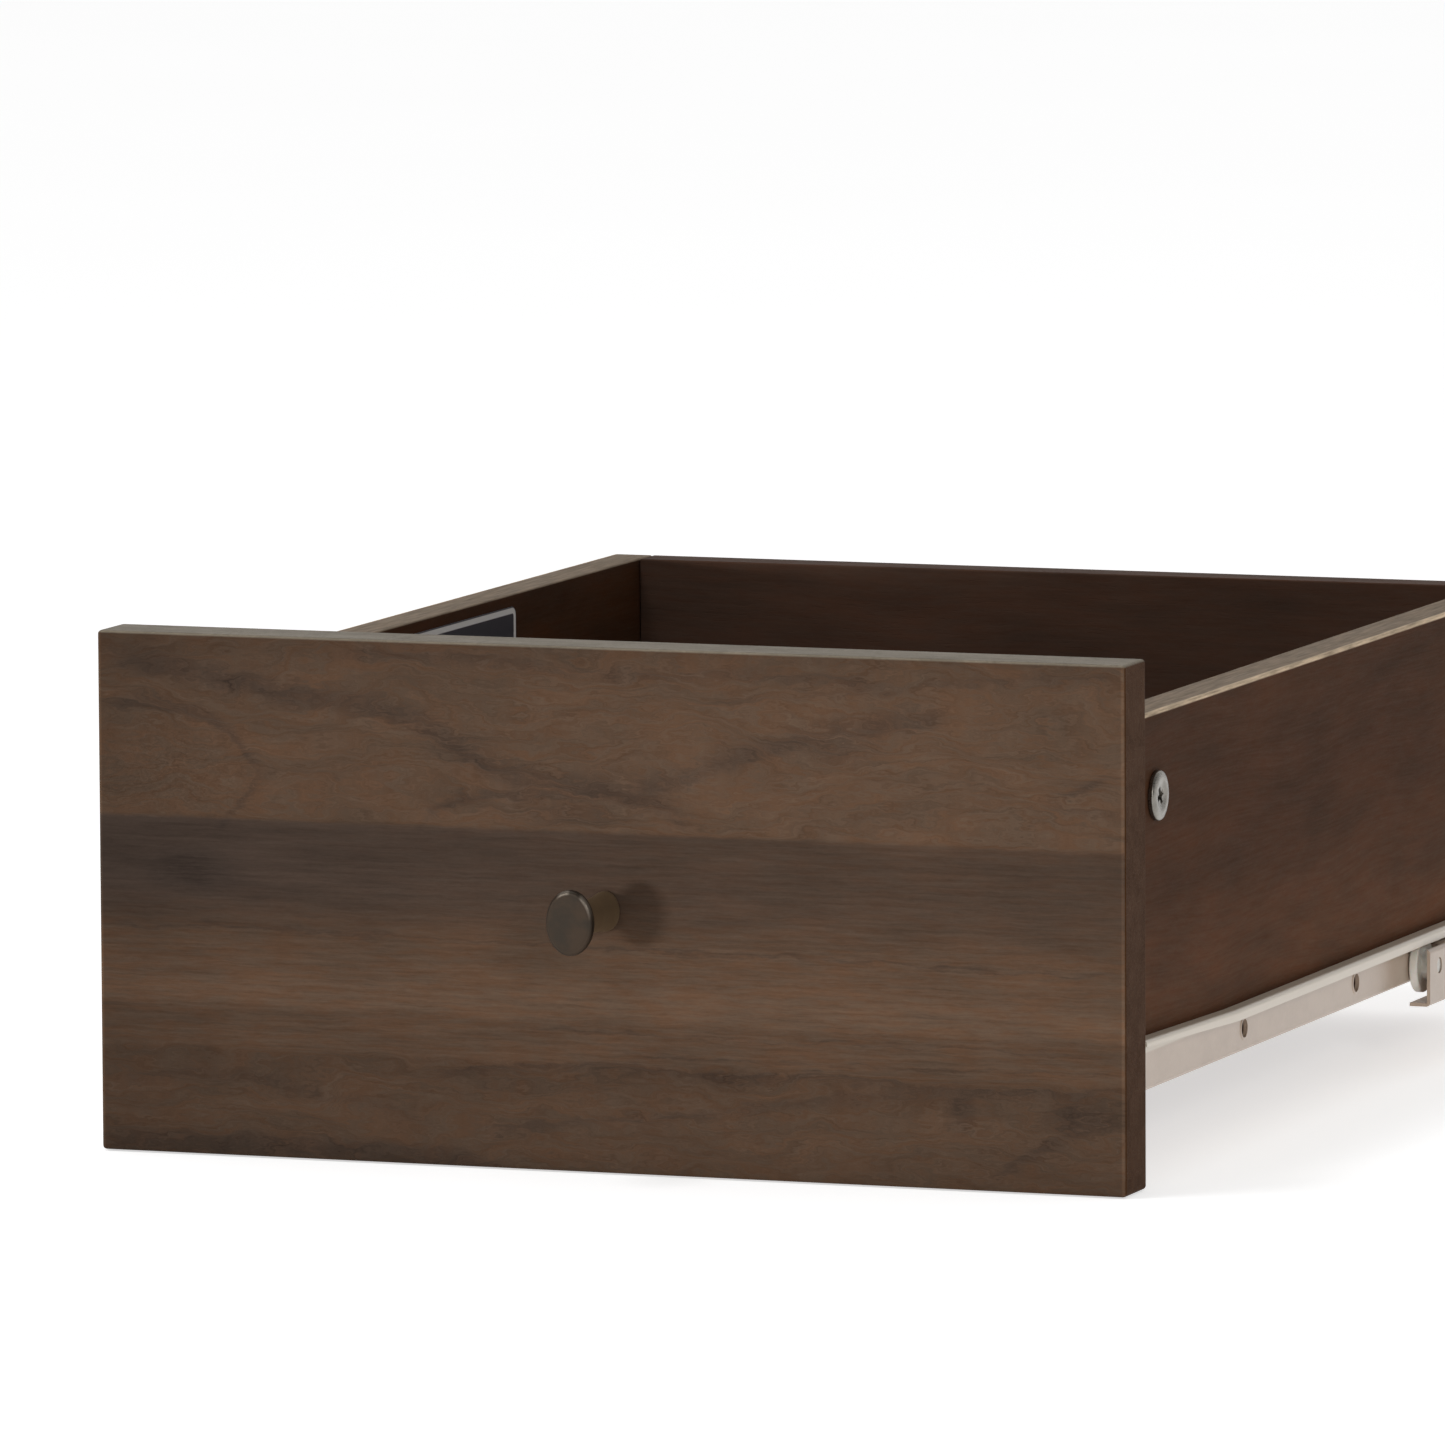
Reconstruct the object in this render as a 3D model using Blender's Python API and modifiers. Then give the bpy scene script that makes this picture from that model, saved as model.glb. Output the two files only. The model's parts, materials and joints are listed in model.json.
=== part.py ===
"""An inset under desk drawer, pulled open on a pair of slim roller runners.

Metres, +Z up, +Y into the desk. The origin is the middle of the desk opening: X = 0 is the plane
of symmetry, Y = 0 the front plane of the shut drawer, Z = 0 the bottom edge of its front panel.
The drawer hangs from an empty that is slid forward by OPEN_TRAVEL. The two desk runners stay put.
"""

import math

import bmesh
import bpy
from mathutils import Vector

# Driving dimensions
PANEL_WIDTH = 0.300
PANEL_HEIGHT = 0.145
PANEL_THICK = 0.018
SIDE_THICK = 0.012
SIDE_INSET = 0.0055          # from the panel's end to the side's outer face
SIDE_TOP = 0.128
SIDE_BOTTOM = 0.0262
BOX_BACK = 0.3913            # from the front plane to the back of the box
BOTTOM_THICK = 0.0032
BOTTOM_UNDERSIDE = 0.0352
OPENING_WIDTH = 0.306        # between the desk's inner walls
RUNNER_LENGTH = 0.350
SHEET = 0.001                # runner steel
OPEN_TRAVEL = 0.244
FULL_TRAVEL = 0.260
GAP = 0.0003                 # between pieces that touch

# Places that follow from them
SIDE_OUTER = PANEL_WIDTH / 2 - SIDE_INSET
SIDE_INNER = SIDE_OUTER - SIDE_THICK
SIDE_MIDDLE = SIDE_OUTER - SIDE_THICK / 2
SIDE_FRONT = PANEL_THICK + GAP
BACK_INNER = BOX_BACK - SIDE_THICK
BACK_MIDDLE = BOX_BACK - SIDE_THICK / 2
GROOVE_DEPTH = 0.005

# Cam fittings, dowels and screws of the box
CAM_HEIGHT = 0.1048
CAM_SETBACK = 0.024          # from the side's front end to the cam's axis
CAM_RADIUS = 0.0058
CAM_DEPTH = 0.0092
CAM_RIM_RADIUS = 0.0069
BOLT_IN_PANEL = 0.011
DOWEL_HEIGHTS = (0.056, 0.082)
DOWEL_RADIUS = 0.003
DOWEL_IN_PANEL = 0.010
DOWEL_IN_SIDE = 0.018
BACK_SCREW_HEIGHTS = (0.058, 0.108)

# Knob
KNOB_REACH = 0.0285
KNOB_WIDTH = 0.0136
KNOB_HEIGHT = 0.0180

# Drawer runner, fixed under and beside the side: heights are of the sheet's faces
RUNNER_TOP = 0.0390
LIP_REACH = 0.0055           # from the side's outer face to the lip's outer face
LIP_DROP = 0.0032
RAMP_LENGTH = 0.079          # the flange climbs towards the front end, so that the drawer rolls shut
RAMP_RISE = 0.0017
RAMP_LIP_DROP = 0.0019       # the lip is shallower at the front end
LEDGE_REACH = 0.0115
DRAWER_RUNNER_FRONT = PANEL_THICK + 2 * GAP
WEB_HOLE_RADIUS = 0.0026
WEB_HOLE_FIRST = PANEL_THICK + 0.0970
WEB_HOLE_PITCH = 0.1014
WEB_HOLE_COUNT = 3
LEDGE_SCREWS = (0.060, 0.190, 0.340)

# Desk runner, a channel open towards the drawer
CHANNEL_TOP = 0.0352
CHANNEL_BOTTOM = 0.0187
CHANNEL_REACH = 0.0062
DESK_RUNNER_FRONT = PANEL_THICK + 0.002
TOP_FLANGE_FRONT = DESK_RUNNER_FRONT + 0.020
DESK_HOLES = (0.060, 0.188, 0.316)
DESK_HOLE_RADIUS = 0.0025
FRONT_STOP = (0.0040, 0.0030)    # length along Y and height above the channel's floor
BACK_STOP = (0.0012, 0.0100)

# Rollers
AXLE_RADIUS = 0.002
FRONT_ROLLER_RADIUS = 0.008
REAR_ROLLER_RADIUS = 0.007
ROLLER_END = 0.009           # from a runner's end to its roller's axis
WALL = OPENING_WIDTH / 2
RUNNER_WEB_OUTER = SIDE_OUTER + GAP + SHEET
LEDGE_UNDERSIDE = SIDE_BOTTOM - GAP - SHEET

ROUND = 24                   # segments of a large round piece
SMALL_ROUND = 12

SIDES = (("left", -1), ("right", 1))

WALNUT_FRONT = ((0.075, 0.046, 0.030), 0.45, 0.0)
WALNUT_BOX = ((0.050, 0.028, 0.020), 0.50, 0.0)
HARDBOARD = ((0.060, 0.036, 0.024), 0.70, 0.0)
CREAM_ENAMEL = ((0.62, 0.57, 0.50), 0.35, 0.0)
ZINC = ((0.58, 0.56, 0.53), 0.28, 1.0)
BRONZE = ((0.070, 0.055, 0.042), 0.40, 0.8)
BEECH = ((0.55, 0.38, 0.22), 0.65, 0.0)
NYLON = ((0.72, 0.70, 0.66), 0.45, 0.0)
LABEL_FILM = ((0.050, 0.052, 0.065), 0.40, 0.0)


def clear_scene():
    for old in list(bpy.data.objects):
        bpy.data.objects.remove(old, do_unlink=True)


def make_collection(name):
    collection = bpy.data.collections.new(name)
    bpy.context.scene.collection.children.link(collection)
    return collection


clear_scene()
PARTS = make_collection("under_desk_drawer")
CUTTERS = make_collection("cutters")


def finish(obj, look):
    colour, roughness, metallic = look
    material = bpy.data.materials.new(obj.name + "_finish")
    material.use_nodes = True
    shader = material.node_tree.nodes["Principled BSDF"]
    shader.inputs["Base Color"].default_value = (*colour, 1.0)
    shader.inputs["Roughness"].default_value = roughness
    shader.inputs["Metallic"].default_value = metallic
    obj.data.materials.append(material)
    return obj


def link(name, mesh, parent, look):
    """A part when it has a look, a hidden wire cutter when it has none."""
    obj = bpy.data.objects.new(name, mesh)
    obj.parent = parent
    if look is None:
        CUTTERS.objects.link(obj)
        obj.hide_render = True
        obj.display_type = "WIRE"
    else:
        PARTS.objects.link(obj)
        finish(obj, look)
    return obj


def box(name, low, high, parent=None, look=None):
    low, high = Vector(low), Vector(high)
    size = high - low
    bm = bmesh.new()
    bmesh.ops.create_cube(bm, size=1.0)
    bmesh.ops.scale(bm, vec=size, verts=bm.verts)
    mesh = bpy.data.meshes.new(name)
    bm.to_mesh(mesh)
    bm.free()
    obj = link(name, mesh, parent, look)
    obj.location = (low + high) / 2
    return obj


def aim(obj, direction):
    """Turn an object so that its own Z runs along direction."""
    obj.rotation_euler = Vector(direction).to_track_quat("Z", "Y").to_euler()


def rod(name, start, direction, length, radius, parent=None, look=None, segments=SMALL_ROUND):
    """A round bar from start along direction."""
    bm = bmesh.new()
    bmesh.ops.create_cone(bm, cap_ends=True, segments=segments, radius1=radius, radius2=radius,
                          depth=length)
    bmesh.ops.translate(bm, vec=(0, 0, length / 2), verts=bm.verts)
    mesh = bpy.data.meshes.new(name)
    bm.to_mesh(mesh)
    bm.free()
    if look is not None:
        mesh.shade_smooth()
        mesh.set_sharp_from_angle(angle=math.radians(35))
    obj = link(name, mesh, parent, look)
    obj.location = start
    aim(obj, direction)
    return obj


def turned(name, profile, start, direction, parent, look, segments=SMALL_ROUND, ring=False):
    """A turned piece. The profile is (radius, height along direction), from the top down its
    outer side. A ring's profile also comes back up inside, and is closed."""
    mesh = bpy.data.meshes.new(name)
    points = [(radius, 0.0, height) for radius, height in profile]
    count = len(points)
    edges = [(i, (i + 1) % count) for i in range(count if ring else count - 1)]
    mesh.from_pydata(points, edges, [])
    obj = link(name, mesh, parent, look)
    obj.location = start
    aim(obj, direction)
    screw = obj.modifiers.new("turn", "SCREW")
    screw.axis = "Z"
    screw.steps = segments
    screw.render_steps = segments
    screw.use_smooth_shade = True
    screw.use_merge_vertices = True
    screw.merge_threshold = 0.00001
    return obj


def cut(target, *cutters):
    for cutter in cutters:
        boolean = target.modifiers.new("cut", "BOOLEAN")
        boolean.operation = "DIFFERENCE"
        boolean.solver = "EXACT"
        boolean.object = cutter


def join(target, *additions):
    for addition in additions:
        boolean = target.modifiers.new("join", "BOOLEAN")
        boolean.operation = "UNION"
        boolean.solver = "EXACT"
        boolean.object = addition


def rounded(corners, radius, steps):
    """An open line through (x, z) corners, with each inner corner turned into a small arc."""
    line = [Vector(corners[0])]
    for before, corner, after in zip(corners, corners[1:], corners[2:]):
        before, corner, after = Vector(before), Vector(corner), Vector(after)
        start = corner + (before - corner).normalized() * radius
        end = corner + (after - corner).normalized() * radius
        centre = start + end - corner
        for step in range(steps + 1):
            turn = math.pi / 2 * step / steps
            line.append(centre + (start - centre) * math.cos(turn) + (end - centre) * math.sin(turn))
    line.append(Vector(corners[-1]))
    return line


def folded_strip(name, corners, y_places, parent, look):
    """A folded strip of sheet steel that runs along Y: corners are on the sheet's mid line."""
    bm = bmesh.new()
    verts = [bm.verts.new((x, y_places[0], z)) for x, z in rounded(corners, 0.0008, 3)]
    edges = [bm.edges.new(pair) for pair in zip(verts, verts[1:])]
    for y_from, y_to in zip(y_places, y_places[1:]):
        grown = bmesh.ops.extrude_edge_only(bm, edges=edges)["geom"]
        moved = [item for item in grown if isinstance(item, bmesh.types.BMVert)]
        edges = [item for item in grown if isinstance(item, bmesh.types.BMEdge)
                 and all(end in moved for end in item.verts)]
        bmesh.ops.translate(bm, vec=(0, y_to - y_from, 0), verts=moved)
    mesh = bpy.data.meshes.new(name)
    bm.to_mesh(mesh)
    bm.free()
    obj = link(name, mesh, parent, look)
    solidify = obj.modifiers.new("sheet", "SOLIDIFY")
    solidify.thickness = SHEET
    solidify.offset = 0.0
    solidify.use_even_offset = True
    return obj


def ease_edges(obj, width, segments=2):
    bevel = obj.modifiers.new("ease", "BEVEL")
    bevel.width = width
    bevel.segments = segments
    bevel.limit_method = "ANGLE"
    bevel.angle_limit = math.radians(40)


def make_front_panel(drawer):
    half = PANEL_WIDTH / 2
    panel = box("front_panel", (-half, 0, 0), (half, PANEL_THICK, PANEL_HEIGHT), drawer, WALNUT_FRONT)
    ease_edges(panel, 0.0008)
    groove = box("front_groove", (-SIDE_INNER - GROOVE_DEPTH, PANEL_THICK - GROOVE_DEPTH,
                                  BOTTOM_UNDERSIDE - GAP),
                 (SIDE_INNER + GROOVE_DEPTH, PANEL_THICK + 0.002,
                  BOTTOM_UNDERSIDE + BOTTOM_THICK + GAP), drawer)
    knob_hole = rod("knob_hole", (0, -0.002, PANEL_HEIGHT / 2), (0, 1, 0), PANEL_THICK + 0.004,
                    0.0024, drawer)
    cut(panel, groove, knob_hole)
    for side, sign in SIDES:
        x = sign * SIDE_MIDDLE
        cut(panel, rod(side + "_bolt_socket", (x, PANEL_THICK + 0.002, CAM_HEIGHT), (0, -1, 0),
                       BOLT_IN_PANEL + 0.0025, 0.0030, drawer))
        for number, height in enumerate(DOWEL_HEIGHTS, 1):
            cut(panel, rod(f"{side}_dowel_socket_{number}", (x, PANEL_THICK + 0.002, height),
                           (0, -1, 0), DOWEL_IN_PANEL + 0.0025, DOWEL_RADIUS + GAP, drawer))


def make_side(side, sign, drawer):
    low_x, high_x = sorted((sign * SIDE_INNER, sign * SIDE_OUTER))
    board = box(side + "_side", (low_x, SIDE_FRONT, SIDE_BOTTOM), (high_x, BOX_BACK, SIDE_TOP),
                drawer, WALNUT_BOX)
    ease_edges(board, 0.0005, 1)
    groove_x = sorted((sign * (SIDE_INNER - 0.002), sign * (SIDE_INNER + GROOVE_DEPTH)))
    groove = box(side + "_side_groove", (groove_x[0], 0, BOTTOM_UNDERSIDE - GAP),
                 (groove_x[1], BACK_INNER + GROOVE_DEPTH, BOTTOM_UNDERSIDE + BOTTOM_THICK + GAP),
                 drawer)
    x = sign * SIDE_MIDDLE
    cam_y = SIDE_FRONT + CAM_SETBACK
    cam_bore = rod(side + "_cam_bore", (sign * (SIDE_OUTER + 0.002), cam_y, CAM_HEIGHT),
                   (-sign, 0, 0), CAM_DEPTH + 0.0024, CAM_RADIUS + GAP, drawer)
    bolt_bore = rod(side + "_bolt_bore", (x, PANEL_THICK - 0.001, CAM_HEIGHT), (0, 1, 0),
                    CAM_SETBACK, 0.0030, drawer)
    cut(board, groove, cam_bore, bolt_bore)
    for number, height in enumerate(DOWEL_HEIGHTS, 1):
        cut(board, rod(f"{side}_dowel_bore_{number}", (x, SIDE_FRONT - 0.002, height), (0, 1, 0),
                       DOWEL_IN_SIDE + 0.0025, DOWEL_RADIUS + GAP, drawer))
    for number, height in enumerate(BACK_SCREW_HEIGHTS, 1):
        start = (sign * (SIDE_OUTER + 0.001), BACK_MIDDLE, height)
        cut(board, rod(f"{side}_back_bore_{number}", start, (-sign, 0, 0), SIDE_THICK + 0.002,
                       0.0022, drawer))
        cut(board, rod(f"{side}_back_sink_{number}", start, (-sign, 0, 0), 0.0036, 0.0042, drawer))
    for number, y in enumerate(LEDGE_SCREWS, 1):
        cut(board, rod(f"{side}_pilot_{number}", (x, y, SIDE_BOTTOM - 0.002), (0, 0, 1), 0.0105,
                       0.0017, drawer))


def make_back_panel(drawer):
    edge = SIDE_INNER - GAP
    board = box("back_panel", (-edge, BACK_INNER, SIDE_BOTTOM), (edge, BOX_BACK, SIDE_TOP), drawer,
                WALNUT_BOX)
    ease_edges(board, 0.0005, 1)
    groove = box("back_groove", (-SIDE_OUTER, BACK_INNER - 0.002, BOTTOM_UNDERSIDE - GAP),
                 (SIDE_OUTER, BACK_INNER + GROOVE_DEPTH, BOTTOM_UNDERSIDE + BOTTOM_THICK + GAP),
                 drawer)
    cut(board, groove)
    for side, sign in SIDES:
        for number, height in enumerate(BACK_SCREW_HEIGHTS, 1):
            cut(board, rod(f"{side}_back_pilot_{number}", (sign * SIDE_OUTER, BACK_MIDDLE, height),
                           (-sign, 0, 0), 0.032, 0.0022, drawer))


def make_bottom_panel(drawer):
    reach = SIDE_INNER + GROOVE_DEPTH - GAP
    box("bottom_panel", (-reach, PANEL_THICK - GROOVE_DEPTH + GAP, BOTTOM_UNDERSIDE),
        (reach, BACK_INNER + GROOVE_DEPTH - GAP, BOTTOM_UNDERSIDE + BOTTOM_THICK), drawer, HARDBOARD)


def make_knob(drawer):
    radius = KNOB_HEIGHT / 2
    head_edge = KNOB_REACH - 0.0012
    profile = [(0, KNOB_REACH), (radius - 0.0014, KNOB_REACH), (radius - 0.0004, head_edge + 0.0006),
               (radius, head_edge - 0.0004), (radius, head_edge - 0.0040),
               (radius - 0.0018, head_edge - 0.0064), (0.0052, head_edge - 0.0094),
               (0.0046, 0.0110), (0.0046, 0.0060), (0.0056, 0.0018), (0.0062, 0), (0.0027, 0),
               (0.0027, 0.0092), (0, 0.0092)]
    knob = turned("knob", profile, (0, -GAP, PANEL_HEIGHT / 2), (0, -1, 0), drawer, BRONZE, ROUND)
    # the head is a little taller than it is wide, so the whole turning is narrowed along X
    knob.scale = (KNOB_WIDTH / KNOB_HEIGHT, 1, 1)
    screw_profile = [(0, PANEL_THICK + 0.0070), (0.0018, PANEL_THICK + 0.0070), (0.0018, 0),
                     (0.0040, 0), (0.0040, -0.0016), (0.0028, -0.0024), (0, -0.0026)]
    turned("knob_screw", screw_profile, (0, PANEL_THICK + GAP, PANEL_HEIGHT / 2), (0, -1, 0), drawer,
           ZINC)


def make_cam_fitting(side, sign, drawer):
    y = SIDE_FRONT + CAM_SETBACK
    rim = CAM_RIM_RADIUS
    profile = [(0, 0.0018), (0.0040, 0.0017), (rim - 0.0010, 0.0011), (rim, 0.0005), (rim, 0),
               (CAM_RADIUS, 0), (CAM_RADIUS, -CAM_DEPTH), (0, -CAM_DEPTH)]
    cam = turned(side + "_cam", profile, (sign * (SIDE_OUTER + GAP), y, CAM_HEIGHT), (sign, 0, 0),
                 drawer, ZINC, ROUND)
    x = sign * SIDE_OUTER
    arm, width = 0.0030, 0.0006
    for name, half_y, half_z in (("slot", arm, width), ("cross_slot", width, arm)):
        low_x, high_x = sorted((x + sign * 0.0006, x + sign * 0.0040))
        cut(cam, box(f"{side}_cam_{name}", (low_x, y - half_y, CAM_HEIGHT - half_z),
                     (high_x, y + half_y, CAM_HEIGHT + half_z), drawer))
    bolt_x = sign * SIDE_MIDDLE
    cut(cam, rod(side + "_cam_mouth", (bolt_x, y - 0.010, CAM_HEIGHT), (0, 1, 0), 0.0125, 0.0026,
                 drawer))
    length = BOLT_IN_PANEL + CAM_SETBACK + 0.0015
    bolt = [(0, length), (0.0020, length), (0.0020, length - 0.0025), (0.0012, length - 0.0032),
            (0.0012, length - 0.0062), (0.0022, length - 0.0072), (0.0022, BOLT_IN_PANEL),
            (0.0027, BOLT_IN_PANEL - 0.0008), (0.0027, 0.0010), (0.0018, 0), (0, 0)]
    turned(side + "_cam_bolt", bolt, (bolt_x, PANEL_THICK - BOLT_IN_PANEL, CAM_HEIGHT), (0, 1, 0),
           drawer, ZINC)


def make_dowels(side, sign, drawer):
    length = DOWEL_IN_PANEL + DOWEL_IN_SIDE
    edge = DOWEL_RADIUS - 0.0006
    profile = [(0, length), (edge, length), (DOWEL_RADIUS, length - 0.0008), (DOWEL_RADIUS, 0.0008),
               (edge, 0), (0, 0)]
    for number, height in enumerate(DOWEL_HEIGHTS, 1):
        start = (sign * SIDE_MIDDLE, PANEL_THICK - DOWEL_IN_PANEL, height)
        turned(f"{side}_dowel_{number}", profile, start, (0, 1, 0), drawer, BEECH)


def make_back_screws(side, sign, drawer):
    profile = [(0, 0), (0.0036, 0), (0.0038, -0.0004), (0.0018, -0.0024), (0.0018, -0.0260),
               (0.0006, -0.0290), (0, -0.0290)]
    for number, height in enumerate(BACK_SCREW_HEIGHTS, 1):
        start = (sign * (SIDE_OUTER - GAP), BACK_MIDDLE, height)
        turned(f"{side}_back_screw_{number}", profile, start, (sign, 0, 0), drawer, ZINC)


def make_drawer_runner(side, sign, drawer):
    web = sign * (SIDE_OUTER + GAP + SHEET / 2)
    top = RUNNER_TOP - SHEET / 2
    ledge = LEDGE_UNDERSIDE + SHEET / 2
    lip = sign * (SIDE_OUTER + LIP_REACH - SHEET / 2)
    back = DRAWER_RUNNER_FRONT + RUNNER_LENGTH
    corners = [(sign * (SIDE_OUTER - LEDGE_REACH), ledge), (web, ledge), (web, top), (lip, top),
               (lip, RUNNER_TOP - LIP_DROP)]
    if sign > 0:
        corners.reverse()
    runner = folded_strip(side + "_drawer_runner", corners,
                          (DRAWER_RUNNER_FRONT, DRAWER_RUNNER_FRONT + RAMP_LENGTH, back), drawer,
                          CREAM_ENAMEL)
    lip_end = RUNNER_TOP - LIP_DROP
    for vert in runner.data.vertices:
        if vert.co.y < DRAWER_RUNNER_FRONT + RAMP_LENGTH / 2 and vert.co.z > lip_end - 0.0001:
            vert.co.z += RAMP_RISE
            if vert.co.z < lip_end + RAMP_RISE + 0.0001:
                vert.co.z += LIP_DROP - RAMP_LIP_DROP
    middle = RUNNER_TOP - LIP_DROP - (lip_end - ledge) * 0.42
    inside = sign * (SIDE_OUTER - 0.002)
    for number in range(WEB_HOLE_COUNT):
        y = WEB_HOLE_FIRST + number * WEB_HOLE_PITCH
        cut(runner, rod(f"{side}_web_hole_{number + 1}", (inside, y, middle), (sign, 0, 0), 0.005,
                        WEB_HOLE_RADIUS, drawer))
    axis = roller_place(side, sign, "rear")
    cut(runner, rod(side + "_rear_axle_hole", (inside, axis.y, axis.z), (sign, 0, 0), 0.005,
                    AXLE_RADIUS + GAP, drawer))
    head = [(0, 0.0098), (0.0008, 0.0098), (0.0014, 0.0084), (0.0014, 0), (0.0034, 0),
            (0.0032, -0.0010), (0.0020, -0.0016), (0, -0.0017)]
    for number, y in enumerate(LEDGE_SCREWS, 1):
        x = sign * SIDE_MIDDLE
        cut(runner, rod(f"{side}_ledge_hole_{number}", (x, y, LEDGE_UNDERSIDE - 0.002), (0, 0, 1),
                        0.005, 0.0018, drawer))
        turned(f"{side}_runner_screw_{number}", head, (x, y, LEDGE_UNDERSIDE - GAP), (0, 0, 1),
               drawer, ZINC)


def roller_place(side, sign, which):
    """The inboard end of a roller's axis, in the frame of the runner that carries it."""
    x = sign * (RUNNER_WEB_OUTER + GAP)
    if which == "front":
        under_flange = RUNNER_TOP - SHEET - GAP
        return Vector((x, DESK_RUNNER_FRONT + ROLLER_END, under_flange - FRONT_ROLLER_RADIUS))
    y = DRAWER_RUNNER_FRONT + RUNNER_LENGTH - ROLLER_END
    return Vector((x, y, (CHANNEL_TOP + CHANNEL_BOTTOM) / 2))


def make_desk_runner(side, sign):
    web = sign * (WALL - SHEET / 2)
    edge = sign * (WALL - CHANNEL_REACH)
    top = CHANNEL_TOP - SHEET / 2
    bottom = CHANNEL_BOTTOM + SHEET / 2
    back = DESK_RUNNER_FRONT + RUNNER_LENGTH
    corners = [(edge, bottom), (web, bottom), (web, top), (edge, top)]
    if sign > 0:
        corners.reverse()
    runner = folded_strip(side + "_desk_runner", corners, (DESK_RUNNER_FRONT, back), None,
                          CREAM_ENAMEL)
    inner_web = WALL - SHEET
    flange_x = sorted((sign * (inner_web - 0.0001), sign * (edge * sign - 0.002)))
    notch = box(side + "_roller_notch", (flange_x[0], DESK_RUNNER_FRONT - 0.002, CHANNEL_TOP - 0.003),
                (flange_x[1], TOP_FLANGE_FRONT, CHANNEL_TOP + 0.002))
    axis = roller_place(side, sign, "front")
    outside = sign * (WALL + 0.002)
    axle_hole = rod(side + "_front_axle_hole", (outside, axis.y, axis.z), (-sign, 0, 0), 0.005,
                    AXLE_RADIUS + GAP)
    cut(runner, notch, axle_hole)
    middle = (CHANNEL_TOP + CHANNEL_BOTTOM) / 2
    for number, y in enumerate(DESK_HOLES, 1):
        cut(runner, rod(f"{side}_desk_hole_{number}", (outside, y, middle), (-sign, 0, 0), 0.005,
                        DESK_HOLE_RADIUS))
    # the rear roller meets the front stop at full travel, and the back stop when the drawer is shut
    shut = roller_place(side, sign, "rear").y
    stop_back = shut - FULL_TRAVEL - REAR_ROLLER_RADIUS - GAP
    stop_x = sorted((sign * (inner_web + SHEET / 2), sign * (edge * sign + 0.0005)))
    for name, end, (length, height) in (("front_stop", stop_back, FRONT_STOP),
                                        ("back_stop", back, BACK_STOP)):
        join(runner, box(f"{side}_{name}", (stop_x[0], end - length, bottom),
                         (stop_x[1], end, CHANNEL_BOTTOM + SHEET + height)))


def make_roller(side, sign, which, carrier):
    """A nylon roller whose origin is on its axis, and the rivet that it turns on."""
    place = roller_place(side, sign, which)
    bore = AXLE_RADIUS + GAP
    if which == "front":
        tread = LIP_REACH - SHEET - GAP - (RUNNER_WEB_OUTER + GAP - SIDE_OUTER)
        length = WALL - SHEET - GAP - (RUNNER_WEB_OUTER + GAP)
        # counterbore for the rivet head inboard, hub outboard
        profile = [(bore, length), (0.0042, length), (0.0042, tread), (0.0074, tread),
                   (FRONT_ROLLER_RADIUS, tread - 0.0005), (FRONT_ROLLER_RADIUS, 0.0005), (0.0074, 0),
                   (0.0037, 0), (0.0037, 0.0013), (bore, 0.0013)]
        rivet_start, rivet_way = place.x, sign
    else:
        length = 0.0052
        profile = [(0.0037, length), (0.0064, length), (REAR_ROLLER_RADIUS, length - 0.0006),
                   (REAR_ROLLER_RADIUS, 0.0006), (0.0064, 0), (bore, 0), (bore, length - 0.0013),
                   (0.0037, length - 0.0013)]
        rivet_start, rivet_way = place.x + sign * length, -sign
    turned(f"{side}_{which}_roller", profile, place, (sign, 0, 0), carrier, NYLON, ROUND, ring=True)
    shank = WALL - (RUNNER_WEB_OUTER + GAP) - GAP if which == "front" else length + GAP + SHEET
    rivet = [(0, -0.0002), (0.0028, -0.0002), (0.0032, -0.0005), (0.0032, -0.0010),
             (AXLE_RADIUS, -0.0010), (AXLE_RADIUS, -shank), (0, -shank)]
    turned(f"{side}_{which}_rivet", rivet, (rivet_start, place.y, place.z), (-rivet_way, 0, 0),
           carrier, ZINC)


def make_label(drawer):
    inner = -SIDE_INNER + GAP
    label = box("blank_label", (inner, 0.180, 0.088), (inner + 0.0004, 0.275, 0.1245), drawer,
                LABEL_FILM)
    ease_edges(label, 0.00008, 1)


def make_drawer():
    drawer = bpy.data.objects.new("drawer", None)
    PARTS.objects.link(drawer)
    drawer.location = (0, -OPEN_TRAVEL, 0)
    make_front_panel(drawer)
    make_back_panel(drawer)
    make_bottom_panel(drawer)
    make_knob(drawer)
    make_label(drawer)
    for side, sign in SIDES:
        make_side(side, sign, drawer)
        make_cam_fitting(side, sign, drawer)
        make_dowels(side, sign, drawer)
        make_back_screws(side, sign, drawer)
        make_drawer_runner(side, sign, drawer)
        make_roller(side, sign, "rear", drawer)


def make_desk_side():
    for side, sign in SIDES:
        make_desk_runner(side, sign)
        make_roller(side, sign, "front", None)


make_drawer()
make_desk_side()
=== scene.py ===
"""Looks of the under desk drawer: fine boards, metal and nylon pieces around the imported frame.

Places and lengths are in metres in the row frame: X to the right, Y into the desk, Z up. Materials
measure in millimetres. Boards, runners, rollers and fittings take their boxes from the frame, and
stand for the CAD nodes of the same piece.
"""

import json
import math

import bmesh
import bpy
from mathutils import Matrix, Vector


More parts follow.
